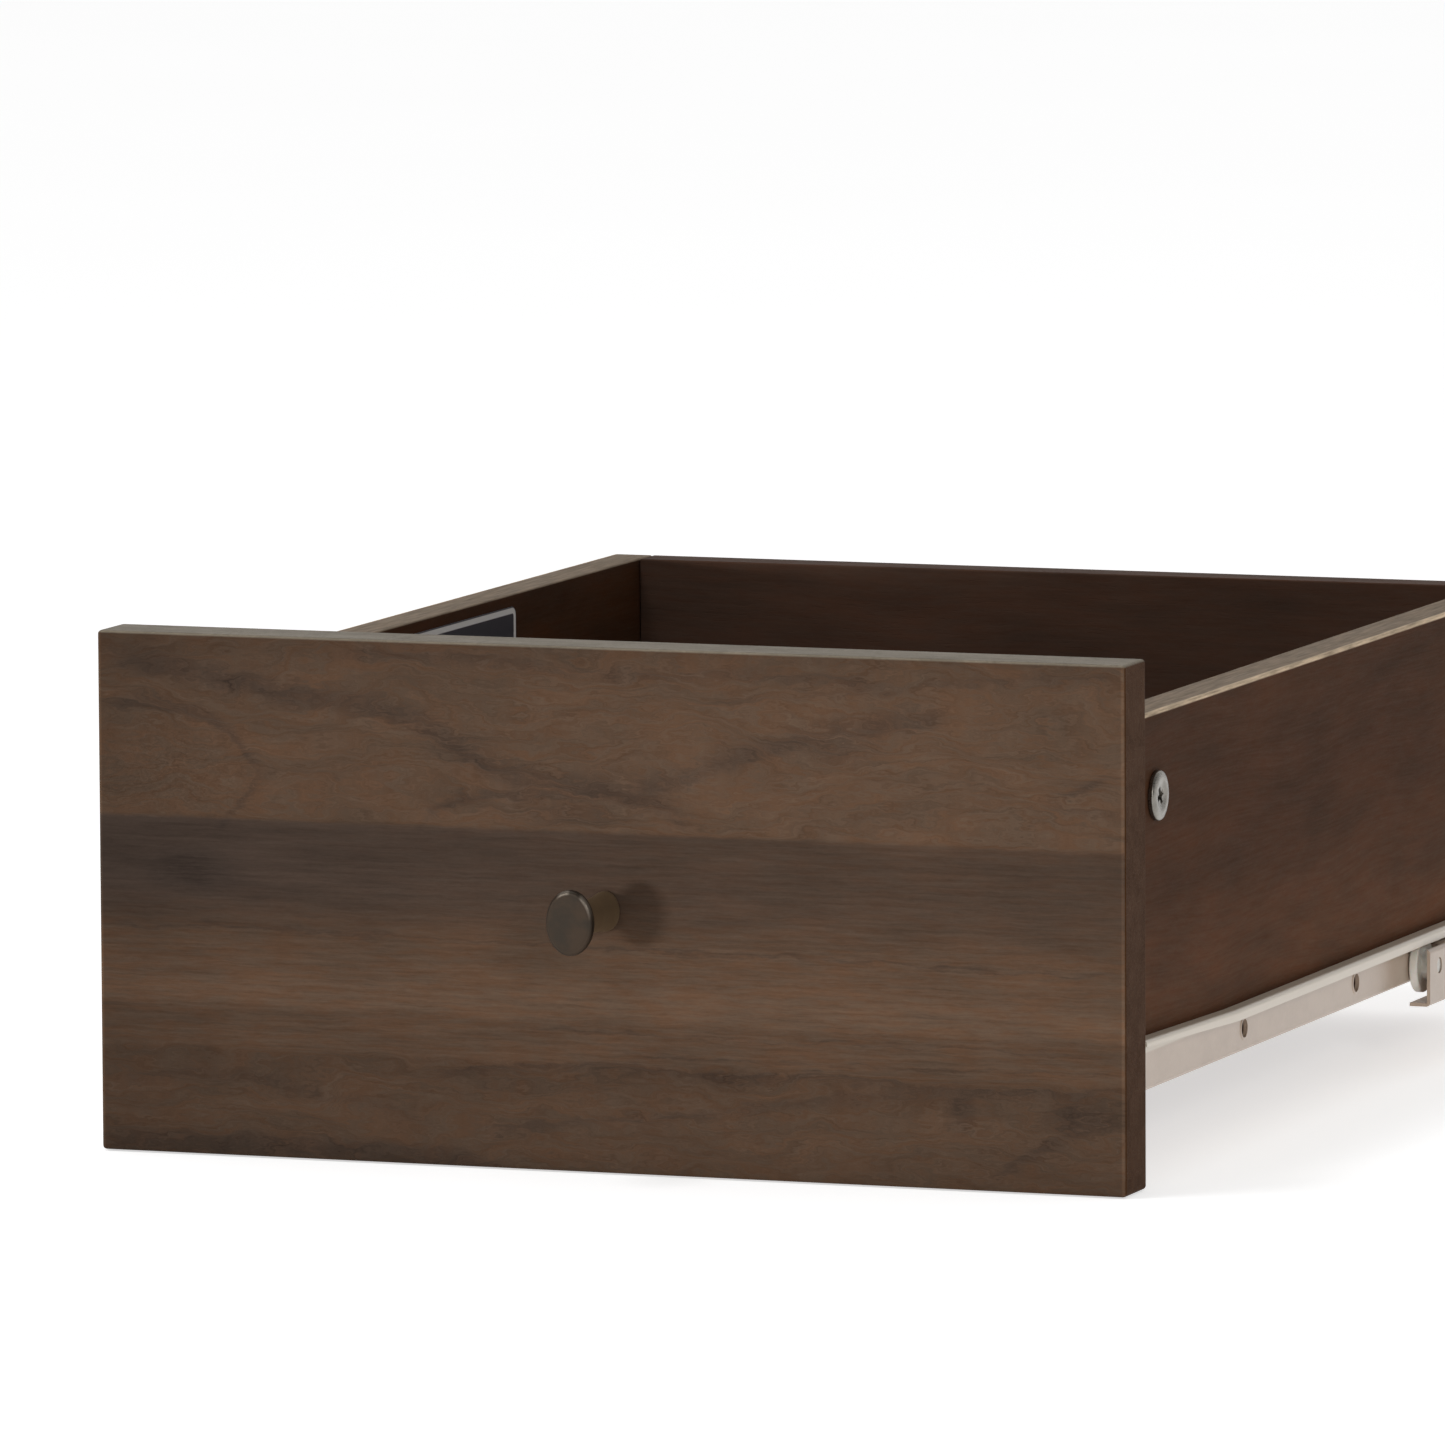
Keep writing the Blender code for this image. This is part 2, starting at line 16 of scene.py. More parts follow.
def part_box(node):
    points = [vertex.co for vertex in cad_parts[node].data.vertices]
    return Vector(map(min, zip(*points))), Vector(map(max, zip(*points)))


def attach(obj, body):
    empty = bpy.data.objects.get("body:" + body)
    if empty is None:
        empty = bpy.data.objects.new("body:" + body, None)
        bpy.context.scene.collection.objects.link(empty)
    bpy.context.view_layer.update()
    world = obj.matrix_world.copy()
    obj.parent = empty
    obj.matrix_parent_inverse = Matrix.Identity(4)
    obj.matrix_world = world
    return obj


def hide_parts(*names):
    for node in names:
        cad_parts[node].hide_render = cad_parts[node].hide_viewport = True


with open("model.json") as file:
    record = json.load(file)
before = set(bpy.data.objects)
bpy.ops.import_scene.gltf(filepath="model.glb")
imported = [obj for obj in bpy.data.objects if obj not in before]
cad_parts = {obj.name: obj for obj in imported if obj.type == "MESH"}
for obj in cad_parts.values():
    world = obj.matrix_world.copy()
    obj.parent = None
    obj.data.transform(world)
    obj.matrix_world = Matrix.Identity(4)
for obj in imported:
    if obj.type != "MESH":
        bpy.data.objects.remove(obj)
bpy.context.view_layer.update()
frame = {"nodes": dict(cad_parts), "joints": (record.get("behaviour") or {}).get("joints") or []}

MM = 0.001
GAP = 0.0003
SHEET = 0.001
OVERSHOOT = 0.002       # how far a cutter reaches past the face that it cuts
SIDES = (("left", -1), ("right", 1))

FRONT_LOW, FRONT_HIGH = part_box("front_panel")
FRONT_WIDTH = (FRONT_HIGH.x - FRONT_LOW.x) / MM
FRONT_HEIGHT = (FRONT_HIGH.z - FRONT_LOW.z) / MM
PANEL_BACK = FRONT_HIGH.y


def centre_of(node):
    low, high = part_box(node)
    return (low + high) / 2


# ------------------------------------------------ camera

CAMERA_YAW, CAMERA_PITCH, CAMERA_ROLL = 20.30, 6.51, -0.31
CAMERA_AIM = (0.0344, FRONT_LOW.y, 0.1256)
CAMERA_DISTANCE = 3.993
CAMERA_LENS = 365.2


def make_camera():
    """A long lens from the right and a little above, aimed at the drawer's upper half."""
    yaw, pitch, roll = (math.radians(angle) for angle in (CAMERA_YAW, CAMERA_PITCH, CAMERA_ROLL))
    forward = Vector((-math.sin(yaw) * math.cos(pitch), math.cos(yaw) * math.cos(pitch),
                      -math.sin(pitch)))
    right = Vector((math.cos(yaw), math.sin(yaw), 0))
    up = right.cross(forward)
    tilted_right = right * math.cos(roll) + up * math.sin(roll)
    tilted_up = up * math.cos(roll) - right * math.sin(roll)
    turn = Matrix((tilted_right, tilted_up, -forward)).transposed()
    data = bpy.data.cameras.new("camera")
    data.sensor_width = 36.0
    data.lens = CAMERA_LENS
    data.clip_start, data.clip_end = 0.1, 60.0
    camera = add_object("camera", data)
    place = Vector(CAMERA_AIM) - forward * CAMERA_DISTANCE
    camera.matrix_world = Matrix.Translation(place) @ turn.to_4x4()
    bpy.context.scene.camera = camera


# ------------------------------------------------ node graphs

class Graph:
    """A material's node tree, written as formulas."""

    def __init__(self, name):
        self.material = bpy.data.materials.new(name)
        self.material.use_nodes = True
        self.tree = self.material.node_tree
        self.tree.nodes.clear()
        self.shader = self.add("ShaderNodeBsdfPrincipled")
        output = self.add("ShaderNodeOutputMaterial")
        self.put(output.inputs["Surface"], self.shader.outputs[0])
        where = self.add("ShaderNodeTexCoord").outputs["Object"]
        split = self.add("ShaderNodeSeparateXYZ")
        self.put(split.inputs[0], self.scale(where, 1 / MM))
        # the place on the piece, in millimetres
        self.x, self.y, self.z = split.outputs

    def add(self, kind, **settings):
        node = self.tree.nodes.new(kind)
        for key, value in settings.items():
            setattr(node, key, value)
        return node

    def put(self, socket, value):
        if isinstance(value, bpy.types.NodeSocket):
            self.tree.links.new(value, socket)
        else:
            socket.default_value = value

    def math(self, operation, *values, clamp=False):
        node = self.add("ShaderNodeMath", operation=operation, use_clamp=clamp)
        for socket, value in zip(node.inputs, values):
            self.put(socket, value)
        return node.outputs[0]

    def chain(self, operation, values):
        """The same operation from the first value to the last."""
        result = values[0]
        for value in values[1:]:
            result = self.math(operation, result, value)
        return result

    def total(self, *values):
        return self.chain("ADD", values)

    def product(self, *values):
        return self.chain("MULTIPLY", values)

    def greatest(self, *values):
        return self.chain("MAXIMUM", values)

    def minus(self, value, taken):
        return self.math("SUBTRACT", value, taken)

    def linear(self, value, slope, start, clamp=False):
        return self.math("MULTIPLY_ADD", value, slope, start, clamp=clamp)

    def magnitude(self, value):
        return self.math("ABSOLUTE", value)

    def remap(self, value, low, high, to_low=0.0, to_high=1.0):
        node = self.add("ShaderNodeMapRange", interpolation_type="SMOOTHSTEP")
        for socket, number in zip(node.inputs, (value, low, high, to_low, to_high)):
            self.put(socket, number)
        return node.outputs[0]

    def noise(self, x, y, z, detail=3.0, roughness=0.55, distortion=0.0):
        where = self.add("ShaderNodeCombineXYZ")
        for socket, value in zip(where.inputs, (x, y, z)):
            self.put(socket, value)
        node = self.add("ShaderNodeTexNoise")
        self.put(node.inputs["Vector"], where.outputs[0])
        for name, value in (("Scale", 1.0), ("Detail", detail), ("Roughness", roughness),
                            ("Distortion", distortion)):
            node.inputs[name].default_value = value
        return node.outputs["Fac"]

    def mottle(self, x_scale, y_scale, z_scale, *settings):
        """Noise over the piece, with its own scale along each axis."""
        return self.noise(self.product(self.x, x_scale), self.product(self.y, y_scale),
                          self.product(self.z, z_scale), *settings)

    def curve(self, value, points, span, height):
        """A smooth curve through (place, level) points, over places from 0 to span."""
        node = self.add("ShaderNodeFloatCurve")
        self.put(node.inputs["Value"], self.math("DIVIDE", value, span))
        line = node.mapping.curves[0]
        scaled = [(place / span, level / height) for place, level in points]
        line.points[0].location, line.points[1].location = scaled[0], scaled[-1]
        for point in scaled[1:-1]:
            line.points.new(*point)
        node.mapping.update()
        return self.product(node.outputs[0], height)

    def mix(self, factor, first, second):
        node = self.add("ShaderNodeMix", data_type="RGBA")
        self.put(node.inputs["Factor"], factor)
        self.put(node.inputs[6], first)
        self.put(node.inputs[7], second)
        return node.outputs[2]

    def scale(self, vector, amount):
        node = self.add("ShaderNodeVectorMath", operation="SCALE")
        self.put(node.inputs[0], vector if isinstance(vector, bpy.types.NodeSocket) else vector[:3])
        self.put(node.inputs["Scale"], amount)
        return node.outputs[0]

    def bump(self, height, distance):
        node = self.add("ShaderNodeBump")
        self.put(node.inputs["Height"], height)
        node.inputs["Distance"].default_value = distance
        self.put(self.shader.inputs["Normal"], node.outputs[0])

    def set(self, **values):
        """Sets the shader's sockets: Base_Color is the socket Base Color."""
        for name, value in values.items():
            self.put(self.shader.inputs[name.replace("_", " ")], value)


def rgb(red, green, blue):
    return (red, green, blue, 1.0)


# ------------------------------------------------ wood

TAN = rgb(1.0, 0.640, 0.425)
RUST = rgb(1.0, 0.545, 0.315)
GREY = rgb(1.0, 0.690, 0.530)
FRONT_LEVEL = 0.081
# a box board's brown hue, red hue and level
SIDE_LOOK = (rgb(1.0, 0.52, 0.30), rgb(1.0, 0.38, 0.16), 0.066)
BACK_LOOK = (rgb(1.0, 0.61, 0.44), rgb(1.0, 0.49, 0.31), 0.084)


def fibres(graph, along, across, through, length, thickness, seed, detail=3.0, roughness=0.6):
    """Noise drawn out along the board: length and thickness of its marks in millimetres, -1 to 1."""
    value = graph.noise(graph.linear(along, 1 / length, seed * 17.3),
                        graph.linear(across, 1 / thickness, seed * 5.1),
                        graph.product(through, 1 / thickness), detail, roughness)
    return graph.linear(value, 2.0, -1.0)


def grain(graph, along, across, through, seed):
    """Mottle, long streaks, short dashes and open pores of walnut. Returns (shade, rust, pores)."""
    mottle = fibres(graph, along, across, through, 34.0, 7.0, seed, 3, 0.55)
    streaks = fibres(graph, along, across, through, 30.0, 0.95, seed + 1, 4, 0.62)
    dashes = fibres(graph, along, across, through, 5.5, 0.50, seed + 2, 2, 0.55)
    specks = fibres(graph, along, across, through, 1.6, 0.75, seed + 3, 2, 0.6)
    shade = graph.total(graph.product(mottle, 0.31), graph.product(streaks, 0.32),
                        graph.product(dashes, 0.22), graph.product(specks, 0.09))
    tint = fibres(graph, along, across, through, 11.0, 1.9, seed + 4, 3, 0.65)
    rust = graph.remap(graph.total(tint, graph.product(mottle, 0.5)), -0.35, 0.40)
    pores = graph.remap(dashes, 0.12, 0.42)
    return shade, rust, pores


def polish(graph, colour, shade, pores, roughness, gloss):
    """The thin lacquer of all the walnut, which follows the grain and leaves its pores open."""
    graph.set(Base_Color=colour, Roughness=graph.linear(shade, -0.25, roughness),
              Specular_IOR_Level=gloss)
    graph.bump(graph.total(graph.product(shade, 0.5), graph.product(pores, -0.6)), 0.00005)
    return graph.material


def vein(graph, along, height, points, below, above):
    """A dark line of figure: 1 on a curve height = f(along), fading over below and above."""
    line = graph.curve(along, points, FRONT_WIDTH, FRONT_HEIGHT)
    offset = graph.minus(height, line)
    ends = graph.product(graph.remap(along, points[0][0] - 4, points[0][0] + 8),
                         graph.remap(along, points[-1][0] - 10, points[-1][0] + 4, 1, 0))
    band = graph.math("MINIMUM", graph.remap(offset, -below, 0), graph.remap(offset, 0, above, 1, 0))
    return graph.product(band, ends)


def blob(graph, along, height, centre, radii):
    """A soft oval spot: 1 in its middle, 0 at its rim."""
    squares = []
    for value, middle, radius in zip((along, height), centre, radii):
        offset = graph.math("DIVIDE", graph.minus(value, middle), radius)
        squares.append(graph.math("POWER", graph.magnitude(offset), 2.0))
    return graph.remap(graph.math("SQRT", graph.total(*squares)), 0.1, 1.0, 1, 0)


# tone of the front by height above its bottom edge, in millimetres: a dark lower edge, streaked
# middle planks, a dark grey plank with a sharp upper edge, and the figured upper plank
FRONT_TONE = ((0, 0.62), (8, 0.79), (16, 0.84), (24, 0.78), (28.5, 0.77), (30.5, 0.90), (36, 0.94),
              (40.5, 0.92), (42.0, 1.06), (47, 1.18), (51, 1.07), (57, 0.99), (62, 0.96), (65, 0.88),
              (70, 0.78), (76, 0.72), (92, 0.66), (93.4, 0.68), (95.0, 0.98), (104, 1.00),
              (118, 1.00), (130, 0.98), (137, 0.92), (141, 0.84), (145, 0.78))
HIGHEST_TONE = 1.4
# figure of the planks: points across from the left end and up from the bottom edge, how far the
# line fades below and above, and how dark it is
FIGURE = (
    (((4, 137), (24, 135), (44, 131), (62, 128), (86, 125), (100, 120), (112, 113), (125, 108),
      (137, 106), (154, 105), (166, 102), (175, 96)), 4.5, 7.0, 0.30),
    (((150, 103), (166, 107), (180, 112), (198, 118), (212, 122), (226, 125), (250, 128)),
     3.5, 7.0, 0.26),
    (((96, 94), (103, 100), (116, 103), (130, 104), (146, 103)), 2.2, 3.0, 0.26),
    (((2, 124), (16, 124), (30, 122), (40, 117), (45, 110), (50, 105)), 2.0, 5.0, 0.28),
    (((36, 92), (42, 98), (47, 104), (53, 108)), 3.0, 2.0, 0.22),
    (((277, 107), (288, 111), (299, 116)), 2.0, 3.0, 0.22),
    (((277, 107), (287, 105), (299, 104)), 2.4, 1.0, 0.22),
    (((70, 140), (110, 141), (150, 138), (190, 139), (240, 136)), 3.0, 2.5, 0.18),
    (((180, 131), (215, 134), (250, 138), (299, 141)), 1.6, 2.4, 0.12),
    (((100, 26), (125, 29), (150, 30), (180, 28.5), (215, 29.5), (250, 27), (299, 29)),
     3.2, 0.8, 0.20),
    (((112, 10), (150, 15), (185, 19), (220, 24), (252, 26)), 3.4, 1.8, 0.14),
    (((262, 4), (276, 13), (290, 19), (299, 20)), 5.0, 1.8, 0.20),
    (((4, 20), (40, 23), (70, 18), (100, 12)), 4.0, 2.0, 0.12),
    (((0, 2), (40, 3), (80, 3), (120, 0)), 6.0, 5.0, 0.30),
    (((0, 63.5), (70, 63.5), (130, 62), (200, 61.5), (299, 60)), 0.8, 1.2, 0.16),
    (((130, 39.5), (180, 38), (240, 39), (299, 38)), 0.6, 0.9, 0.13),
    (((150, 33), (210, 32.5), (299, 33)), 0.6, 0.8, 0.12),
)
# soft dark spots: centre, radii and how dark
SPOTS = (((28, 79), (20, 9), 0.22), ((253, 22), (6, 10), 0.24), ((288, 21), (16, 7), 0.24),
         ((217, 121), (22, 8), 0.20), ((108, 116), (16, 9), 0.14), ((140, 99), (34, 5), 0.14))
BURL = ((22, 107), (40, 22))
# heights over which one plank gives way to the next
UPPER_BORDER = (93.2, 95.2)
LOWER_BORDER = (28.5, 31)


def plank_tone(graph, along, height, ripple, left):
    """Tone of the planks, and the grey plank that runs out into the one below it."""
    tone = graph.curve(graph.total(height, graph.product(ripple, 2.0)), FRONT_TONE,
                       FRONT_HEIGHT, HIGHEST_TONE)
    dip = graph.product(left, graph.remap(height, 56, 68), graph.remap(height, 92, 94, 1, 0), 0.14)
    # painted light falloff: the left half is darker, most of all at the left end; dip is the grey plank's
    # own darkening, and the right end is a little darker
    dip_and_painted_falloff = graph.minus(graph.minus(1.04, dip), graph.product(left, 0.20))
    return graph.product(tone, dip_and_painted_falloff, graph.remap(along, -5, 50, 0.83, 1.0),
                         graph.remap(along, 240, 300, 1.0, 0.94))


def figure_darkness(graph, along, height):
    """The darkest of the veins and spots at each place."""
    marks = [graph.product(vein(graph, along, height, points, below, above), strength)
             for points, below, above, strength in FIGURE]
    marks += [graph.product(blob(graph, along, height, centre, radii), strength)
              for centre, radii, strength in SPOTS]
    return graph.greatest(*marks)


def front_walnut():
    graph = Graph("front_walnut")
    along = graph.total(graph.x, FRONT_WIDTH / 2)
    depth = graph.minus(graph.y, FRONT_LOW.y / MM)
    height = graph.z
    left = graph.remap(along, -20, 240, 1, 0)
    upper = graph.remap(height, *UPPER_BORDER)
    lively = graph.greatest(upper, graph.remap(height, *LOWER_BORDER, 1, 0))

    # the plank borders are straight, the figure inside the planks wanders
    drift = graph.minus(graph.noise(graph.product(along, 0.018), graph.product(height, 0.045),
                                    0.0, 2), 0.5)
    ripple = graph.minus(graph.noise(graph.product(along, 0.10), graph.product(height, 0.30),
                                     3.0, 3), 0.5)
    figure_height = graph.total(height, graph.product(ripple, 7.0), graph.product(drift, 3.0))
    swing = graph.total(graph.product(drift, 34.0), graph.product(ripple, 9.0))
    grain_height = graph.total(height, graph.product(swing, lively), graph.product(ripple, 1.5))
    shade, rust, pores = grain(graph, along, grain_height, depth, 1)

    # contour lines, where the planks are cut across the growth rings, and burl at the upper left
    rings = graph.total(grain_height, graph.product(drift, 26.0))
    contour = graph.math("SINE", graph.product(rings, 0.95))
    worms = graph.noise(graph.product(along, 0.42), graph.product(height, 0.55), 5.0, 3, 0.7, 2.2)
    burl = graph.product(blob(graph, along, height, *BURL), upper)
    shade = graph.total(shade, graph.product(contour, lively, 0.022),
                        graph.product(burl, graph.linear(worms, 0.75, -0.36)))
    dark = graph.product(figure_darkness(graph, along, figure_height),
                         graph.minus(1.0, graph.product(shade, 2.2)))

    # the arrises at the ends are painted a little paler: a painted highlight on the rounded edge, with
    # some wear
    from_middle = graph.magnitude(graph.x)
    near_end = graph.remap(from_middle, FRONT_WIDTH / 2 - 1.3, FRONT_WIDTH / 2 - 0.6)
    arris = graph.product(graph.remap(depth, 0.5, 1.2, 1, 0), near_end)
    shading = graph.total(shade, 1.0)
    tone = graph.product(plank_tone(graph, along, height, ripple, left), shading,
                         graph.minus(1.0, dark), graph.linear(pores, -0.10, 1.0),
                         graph.linear(arris, 0.55, 1.0))

    # the dark plank and the dark lines are greyer
    band = graph.product(graph.remap(height, 60, 78), graph.remap(height, 93.2, 94.6, 1, 0))
    greyness = graph.math("ADD", graph.product(band, graph.linear(left, 0.60, 0.30)),
                          graph.product(dark, 1.2), clamp=True)
    colour = graph.mix(greyness, graph.mix(rust, TAN, RUST), GREY)
    colour = graph.scale(colour, graph.product(tone, FRONT_LEVEL))

    # the panel's ends have a band of their own, and its top edge a pale band of painted reflection
    end_grain = graph.scale(rgb(0.0515, 0.0200, 0.0055), shading)
    past_end = graph.remap(from_middle, FRONT_WIDTH / 2 - 0.3, FRONT_WIDTH / 2 - 0.1)
    colour = graph.mix(past_end, colour, end_grain)
    # painted reflection: the top edge is painted pale
    painted_top_reflection = graph.scale(rgb(0.188, 0.160, 0.122), shading)
    colour = graph.mix(graph.remap(height, FRONT_HEIGHT - 0.9, FRONT_HEIGHT - 0.2), colour, painted_top_reflection)
    return polish(graph, colour, shade, pores, 0.48, 0.02)


def painted_edge_sheen(graph, colour, along, seed, outer, top):
    """A side board's top edge painted pale as a painted reflection, with a painted highlight on its outer
    arris, both streaked along the grain.
    """
    near_outer = graph.remap(graph.magnitude(graph.x), outer - 1.3, outer - 0.7)
    near_top = graph.remap(graph.z, top - 1.3, top - 0.8)
    on_top = graph.remap(graph.z, top - 0.6, top - 0.2)
    edge_streaks = fibres(graph, along, graph.x, graph.z, 12.0, 1.2, seed, 3)
    # painted reflection on the top edge, and a painted highlight on the outer arris
    top_sheen = graph.scale(rgb(0.20, 0.15, 0.105), graph.linear(edge_streaks, 0.7, 1.0))
    painted_highlight = graph.scale(rgb(0.52, 0.40, 0.28), graph.linear(edge_streaks, 1.0, 1.0))
    colour = graph.mix(on_top, colour, top_sheen)
    return graph.mix(graph.product(near_outer, near_top), colour, painted_highlight)


def box_walnut(name, along_axis, seed, look, sheen_edge=None):
    """Dark red-brown board with a quiet grain. sheen_edge is a side board's (outer face, top), where the
    painted edge reflection goes.
    """
    graph = Graph(name)
    along, through = (graph.y, graph.x) if along_axis == "y" else (graph.x, graph.y)
    wander = graph.noise(graph.product(along, 0.008), graph.product(graph.z, 0.02), seed * 3.1, 1)
    across = graph.total(graph.z, graph.linear(wander, 12.0, -6.0))
    shade, rust, pores = grain(graph, along, across, through, seed)
    patch = fibres(graph, along, across, through, 60.0, 16.0, seed + 5, 2, 0.5)
    uneven = graph.total(graph.product(shade, 0.52), graph.product(patch, 0.45))
    # painted light and shade: the board is paler low down, where light comes back from below, and darker
    # high up
    tone = graph.product(graph.total(1.0, uneven), graph.remap(graph.z, 30, 95, 1.60, 0.90),
                         graph.linear(pores, -0.08, 1.0))
    redness = graph.linear(graph.total(rust, patch), 0.5, 0.25, clamp=True)
    brown, red, level = look
    colour = graph.scale(graph.mix(redness, brown, red), graph.product(tone, level))
    if sheen_edge:
        colour = painted_edge_sheen(graph, colour, along, seed + 6, *sheen_edge)
    return polish(graph, colour, shade, pores, 0.58, 0.015)


def hardboard():
    graph = Graph("hardboard_face")
    fleck = graph.mottle(0.9, 0.35, 1.0, 4, 0.7)
    cloud = graph.mottle(0.03, 0.01, 1.0, 3)
    tone = graph.total(graph.linear(fleck, 0.5, 0.45), graph.product(cloud, 0.5))
    graph.set(Base_Color=graph.scale(rgb(0.085, 0.048, 0.032), tone),
              Roughness=graph.linear(fleck, 0.2, 0.55))
    graph.bump(fleck, 0.00005)
    return graph.material


def beech():
    graph = Graph("beech_dowel")
    fleck = graph.mottle(4.0, 0.3, 4.0, 4)
    graph.set(Base_Color=graph.mix(fleck, rgb(0.62, 0.42, 0.24), rgb(0.40, 0.25, 0.13)), Roughness=0.65)
    graph.bump(fleck, 0.00004)
    return graph.material


# ------------------------------------------------ metal, enamel, nylon, film

def enamel(lit_above):
    """Cream epoxy powder coat with a slight orange peel. Below a height it is darker and mottled with
    dust, as painted shade on the web; above it the lip is painted paler, as painted light.
    """
    graph = Graph("cream_enamel")
    peel = graph.mottle(1.6, 1.6, 1.6, 2)
    dust = graph.mottle(0.10, 0.06, 0.10, 5, 0.6)
    dusty_shaded_web = graph.mix(graph.remap(dust, 0.35, 0.70), rgb(0.455, 0.350, 0.270), rgb(0.41, 0.31, 0.235))
    # painted light: above the height the lip is paler; below it the web is darker, painted shade with a
    # dusty mottle
    painted_lip_light = graph.remap(graph.z, lit_above / MM - 0.6, lit_above / MM + 0.2)
    graph.set(Base_Color=graph.mix(painted_lip_light, dusty_shaded_web, rgb(0.60, 0.525, 0.43)),
              Roughness=graph.linear(peel, 0.16, 0.24), Coat_Weight=0.25, Coat_Roughness=0.2)
    graph.bump(peel, 0.00003)
    return graph.material


def zinc(name, bright, dull, swirl):
    """Zinc plate with fine stretched scratches and cloudy patches."""
    graph = Graph(name)
    scratch = graph.mottle(swirl, swirl, swirl * 3, 4, 0.7, 1.5)
    cloud = graph.mottle(0.35, 0.35, 0.35, 3)
    graph.set(Base_Color=graph.mix(cloud, bright, dull), Metallic=1.0,
              Roughness=graph.linear(scratch, 0.22, 0.18))
    graph.bump(scratch, 0.00002)
    return graph.material


def bronze(low, high):
    """Dark bronze lacquer: a dull face, a rim with painted glints at its upper left and upper right, and a
    warmer neck.
    """
    graph = Graph("bronze_lacquer")
    middle, half = (low + high) / 2 / MM, (high - low) / 2 / MM
    across = graph.math("DIVIDE", graph.x, half.x)
    up = graph.math("DIVIDE", graph.minus(graph.z, middle.z), half.z)
    radius = graph.math("SQRT", graph.total(graph.product(across, across), graph.product(up, up)))
    behind = graph.minus(graph.y, low.y / MM)
    rim = graph.product(graph.remap(radius, 0.84, 0.92), graph.remap(behind, 1.2, 2.0, 1, 0))
    # painted glints on the rim at the upper left and upper right, with a gap just right of the top
    glint_gap = graph.remap(graph.magnitude(graph.minus(across, 0.25)), 0.16, 0.34)
    painted_highlight = graph.product(rim, graph.remap(up, 0.05, 0.60), glint_gap,
                           graph.remap(across, -0.55, -0.30))
    cloud = graph.mottle(0.16, 0.3, 0.16, 3)
    scratch = graph.mottle(0.6, 2.0, 3.0, 4, 0.7, 1.0)
    face = graph.mix(graph.remap(cloud, 0.35, 0.65), rgb(0.036, 0.023, 0.014), rgb(0.025, 0.0185, 0.0125))
    head = graph.mix(painted_highlight, face, rgb(0.135, 0.113, 0.091))
    neck = graph.mix(cloud, rgb(0.165, 0.108, 0.058), rgb(0.120, 0.080, 0.045))
    graph.set(Base_Color=graph.mix(graph.remap(behind, 2.5, 6.0), head, neck), Metallic=0.5,
              Roughness=graph.total(0.54, graph.product(rim, -0.14), graph.product(painted_highlight, -0.16),
                                    graph.product(scratch, 0.14)),
              Specular_IOR_Level=0.25)
    graph.bump(scratch, 0.00002)
    return graph.material


def nylon():
    graph = Graph("moulded_nylon")
    cloud = graph.mottle(0.7, 0.7, 0.7, 4)
    graph.set(Base_Color=graph.mix(cloud, rgb(0.78, 0.76, 0.70), rgb(0.66, 0.63, 0.56)),
              Roughness=graph.linear(cloud, 0.2, 0.34), Subsurface_Weight=0.15, Subsurface_Scale=0.002)
    graph.bump(cloud, 0.00003)
    return graph.material


def film(centre, half, corner, border):
    """Dark printed film with a pale line round it, set in from its edge. No lettering."""
    graph = Graph("label_film")
    across = graph.magnitude(graph.minus(graph.y, centre.y / MM))
    height = graph.magnitude(graph.minus(graph.z, centre.z / MM))
    past_y = graph.greatest(graph.minus(across, half[0] - corner), 0.0)
    past_z = graph.greatest(graph.minus(height, half[1] - corner), 0.0)
    reach = graph.math("SQRT", graph.total(graph.math("POWER", past_y, 2.0),
                                           graph.math("POWER", past_z, 2.0)))
    reach = graph.minus(reach, corner)
    line = graph.product(graph.remap(reach, -border - 0.25, -border), graph.remap(reach, -0.5, -0.2, 1, 0))
    fibre = graph.noise(graph.product(graph.y, 1.2), graph.product(graph.z, 1.2), 0.0, 4)
    ground = graph.mix(fibre, rgb(0.030, 0.031, 0.042), rgb(0.050, 0.050, 0.062))
    graph.set(Base_Color=graph.mix(line, ground, rgb(0.80, 0.78, 0.76)),
              Roughness=graph.linear(fibre, 0.15, 0.30))
    graph.bump(fibre, 0.00002)
    return graph.material


# ------------------------------------------------ mesh tools

def add_object(name, data):
    obj = bpy.data.objects.new(name, data)
    bpy.context.scene.collection.objects.link(obj)
    return obj


def object_from(name, bm):
    """An object from a bmesh, which is freed."""
    mesh = bpy.data.meshes.new(name)
    bm.to_mesh(mesh)
    bm.free()
    return add_object(name, mesh)


def applied(obj):
    """Bakes the modifiers and the place into the mesh, so that it lies in the row frame."""
    bpy.context.view_layer.update()
    mesh = bpy.data.meshes.new_from_object(obj.evaluated_get(bpy.context.evaluated_depsgraph_get()))
    mesh.transform(obj.matrix_world)
    obj.modifiers.clear()
    obj.data = mesh
    obj.matrix_world = Matrix.Identity(4)
    return obj


def carve(obj, cutters, operation="DIFFERENCE"):
    for cutter in cutters:
        boolean = obj.modifiers.new("carve", "BOOLEAN")
        boolean.operation = operation
        boolean.solver = "EXACT"
        boolean.object = cutter
    applied(obj)
    for cutter in cutters:
        bpy.data.objects.remove(cutter)
    return obj


def box(name, low, high):
    low, high = Vector(low), Vector(high)
    bm = bmesh.new()
    bmesh.ops.create_cube(bm, size=1.0)
    bmesh.ops.scale(bm, vec=high - low, verts=bm.verts)
    bmesh.ops.translate(bm, vec=(low + high) / 2, verts=bm.verts)
    return object_from(name, bm)


def side_box(name, sign, inner, outer, y_span, z_span):
    """A box given by its distances from the plane of symmetry."""
    low_x, high_x = sorted((sign * inner, sign * outer))
    return box(name, (low_x, y_span[0], z_span[0]), (high_x, y_span[1], z_span[1]))


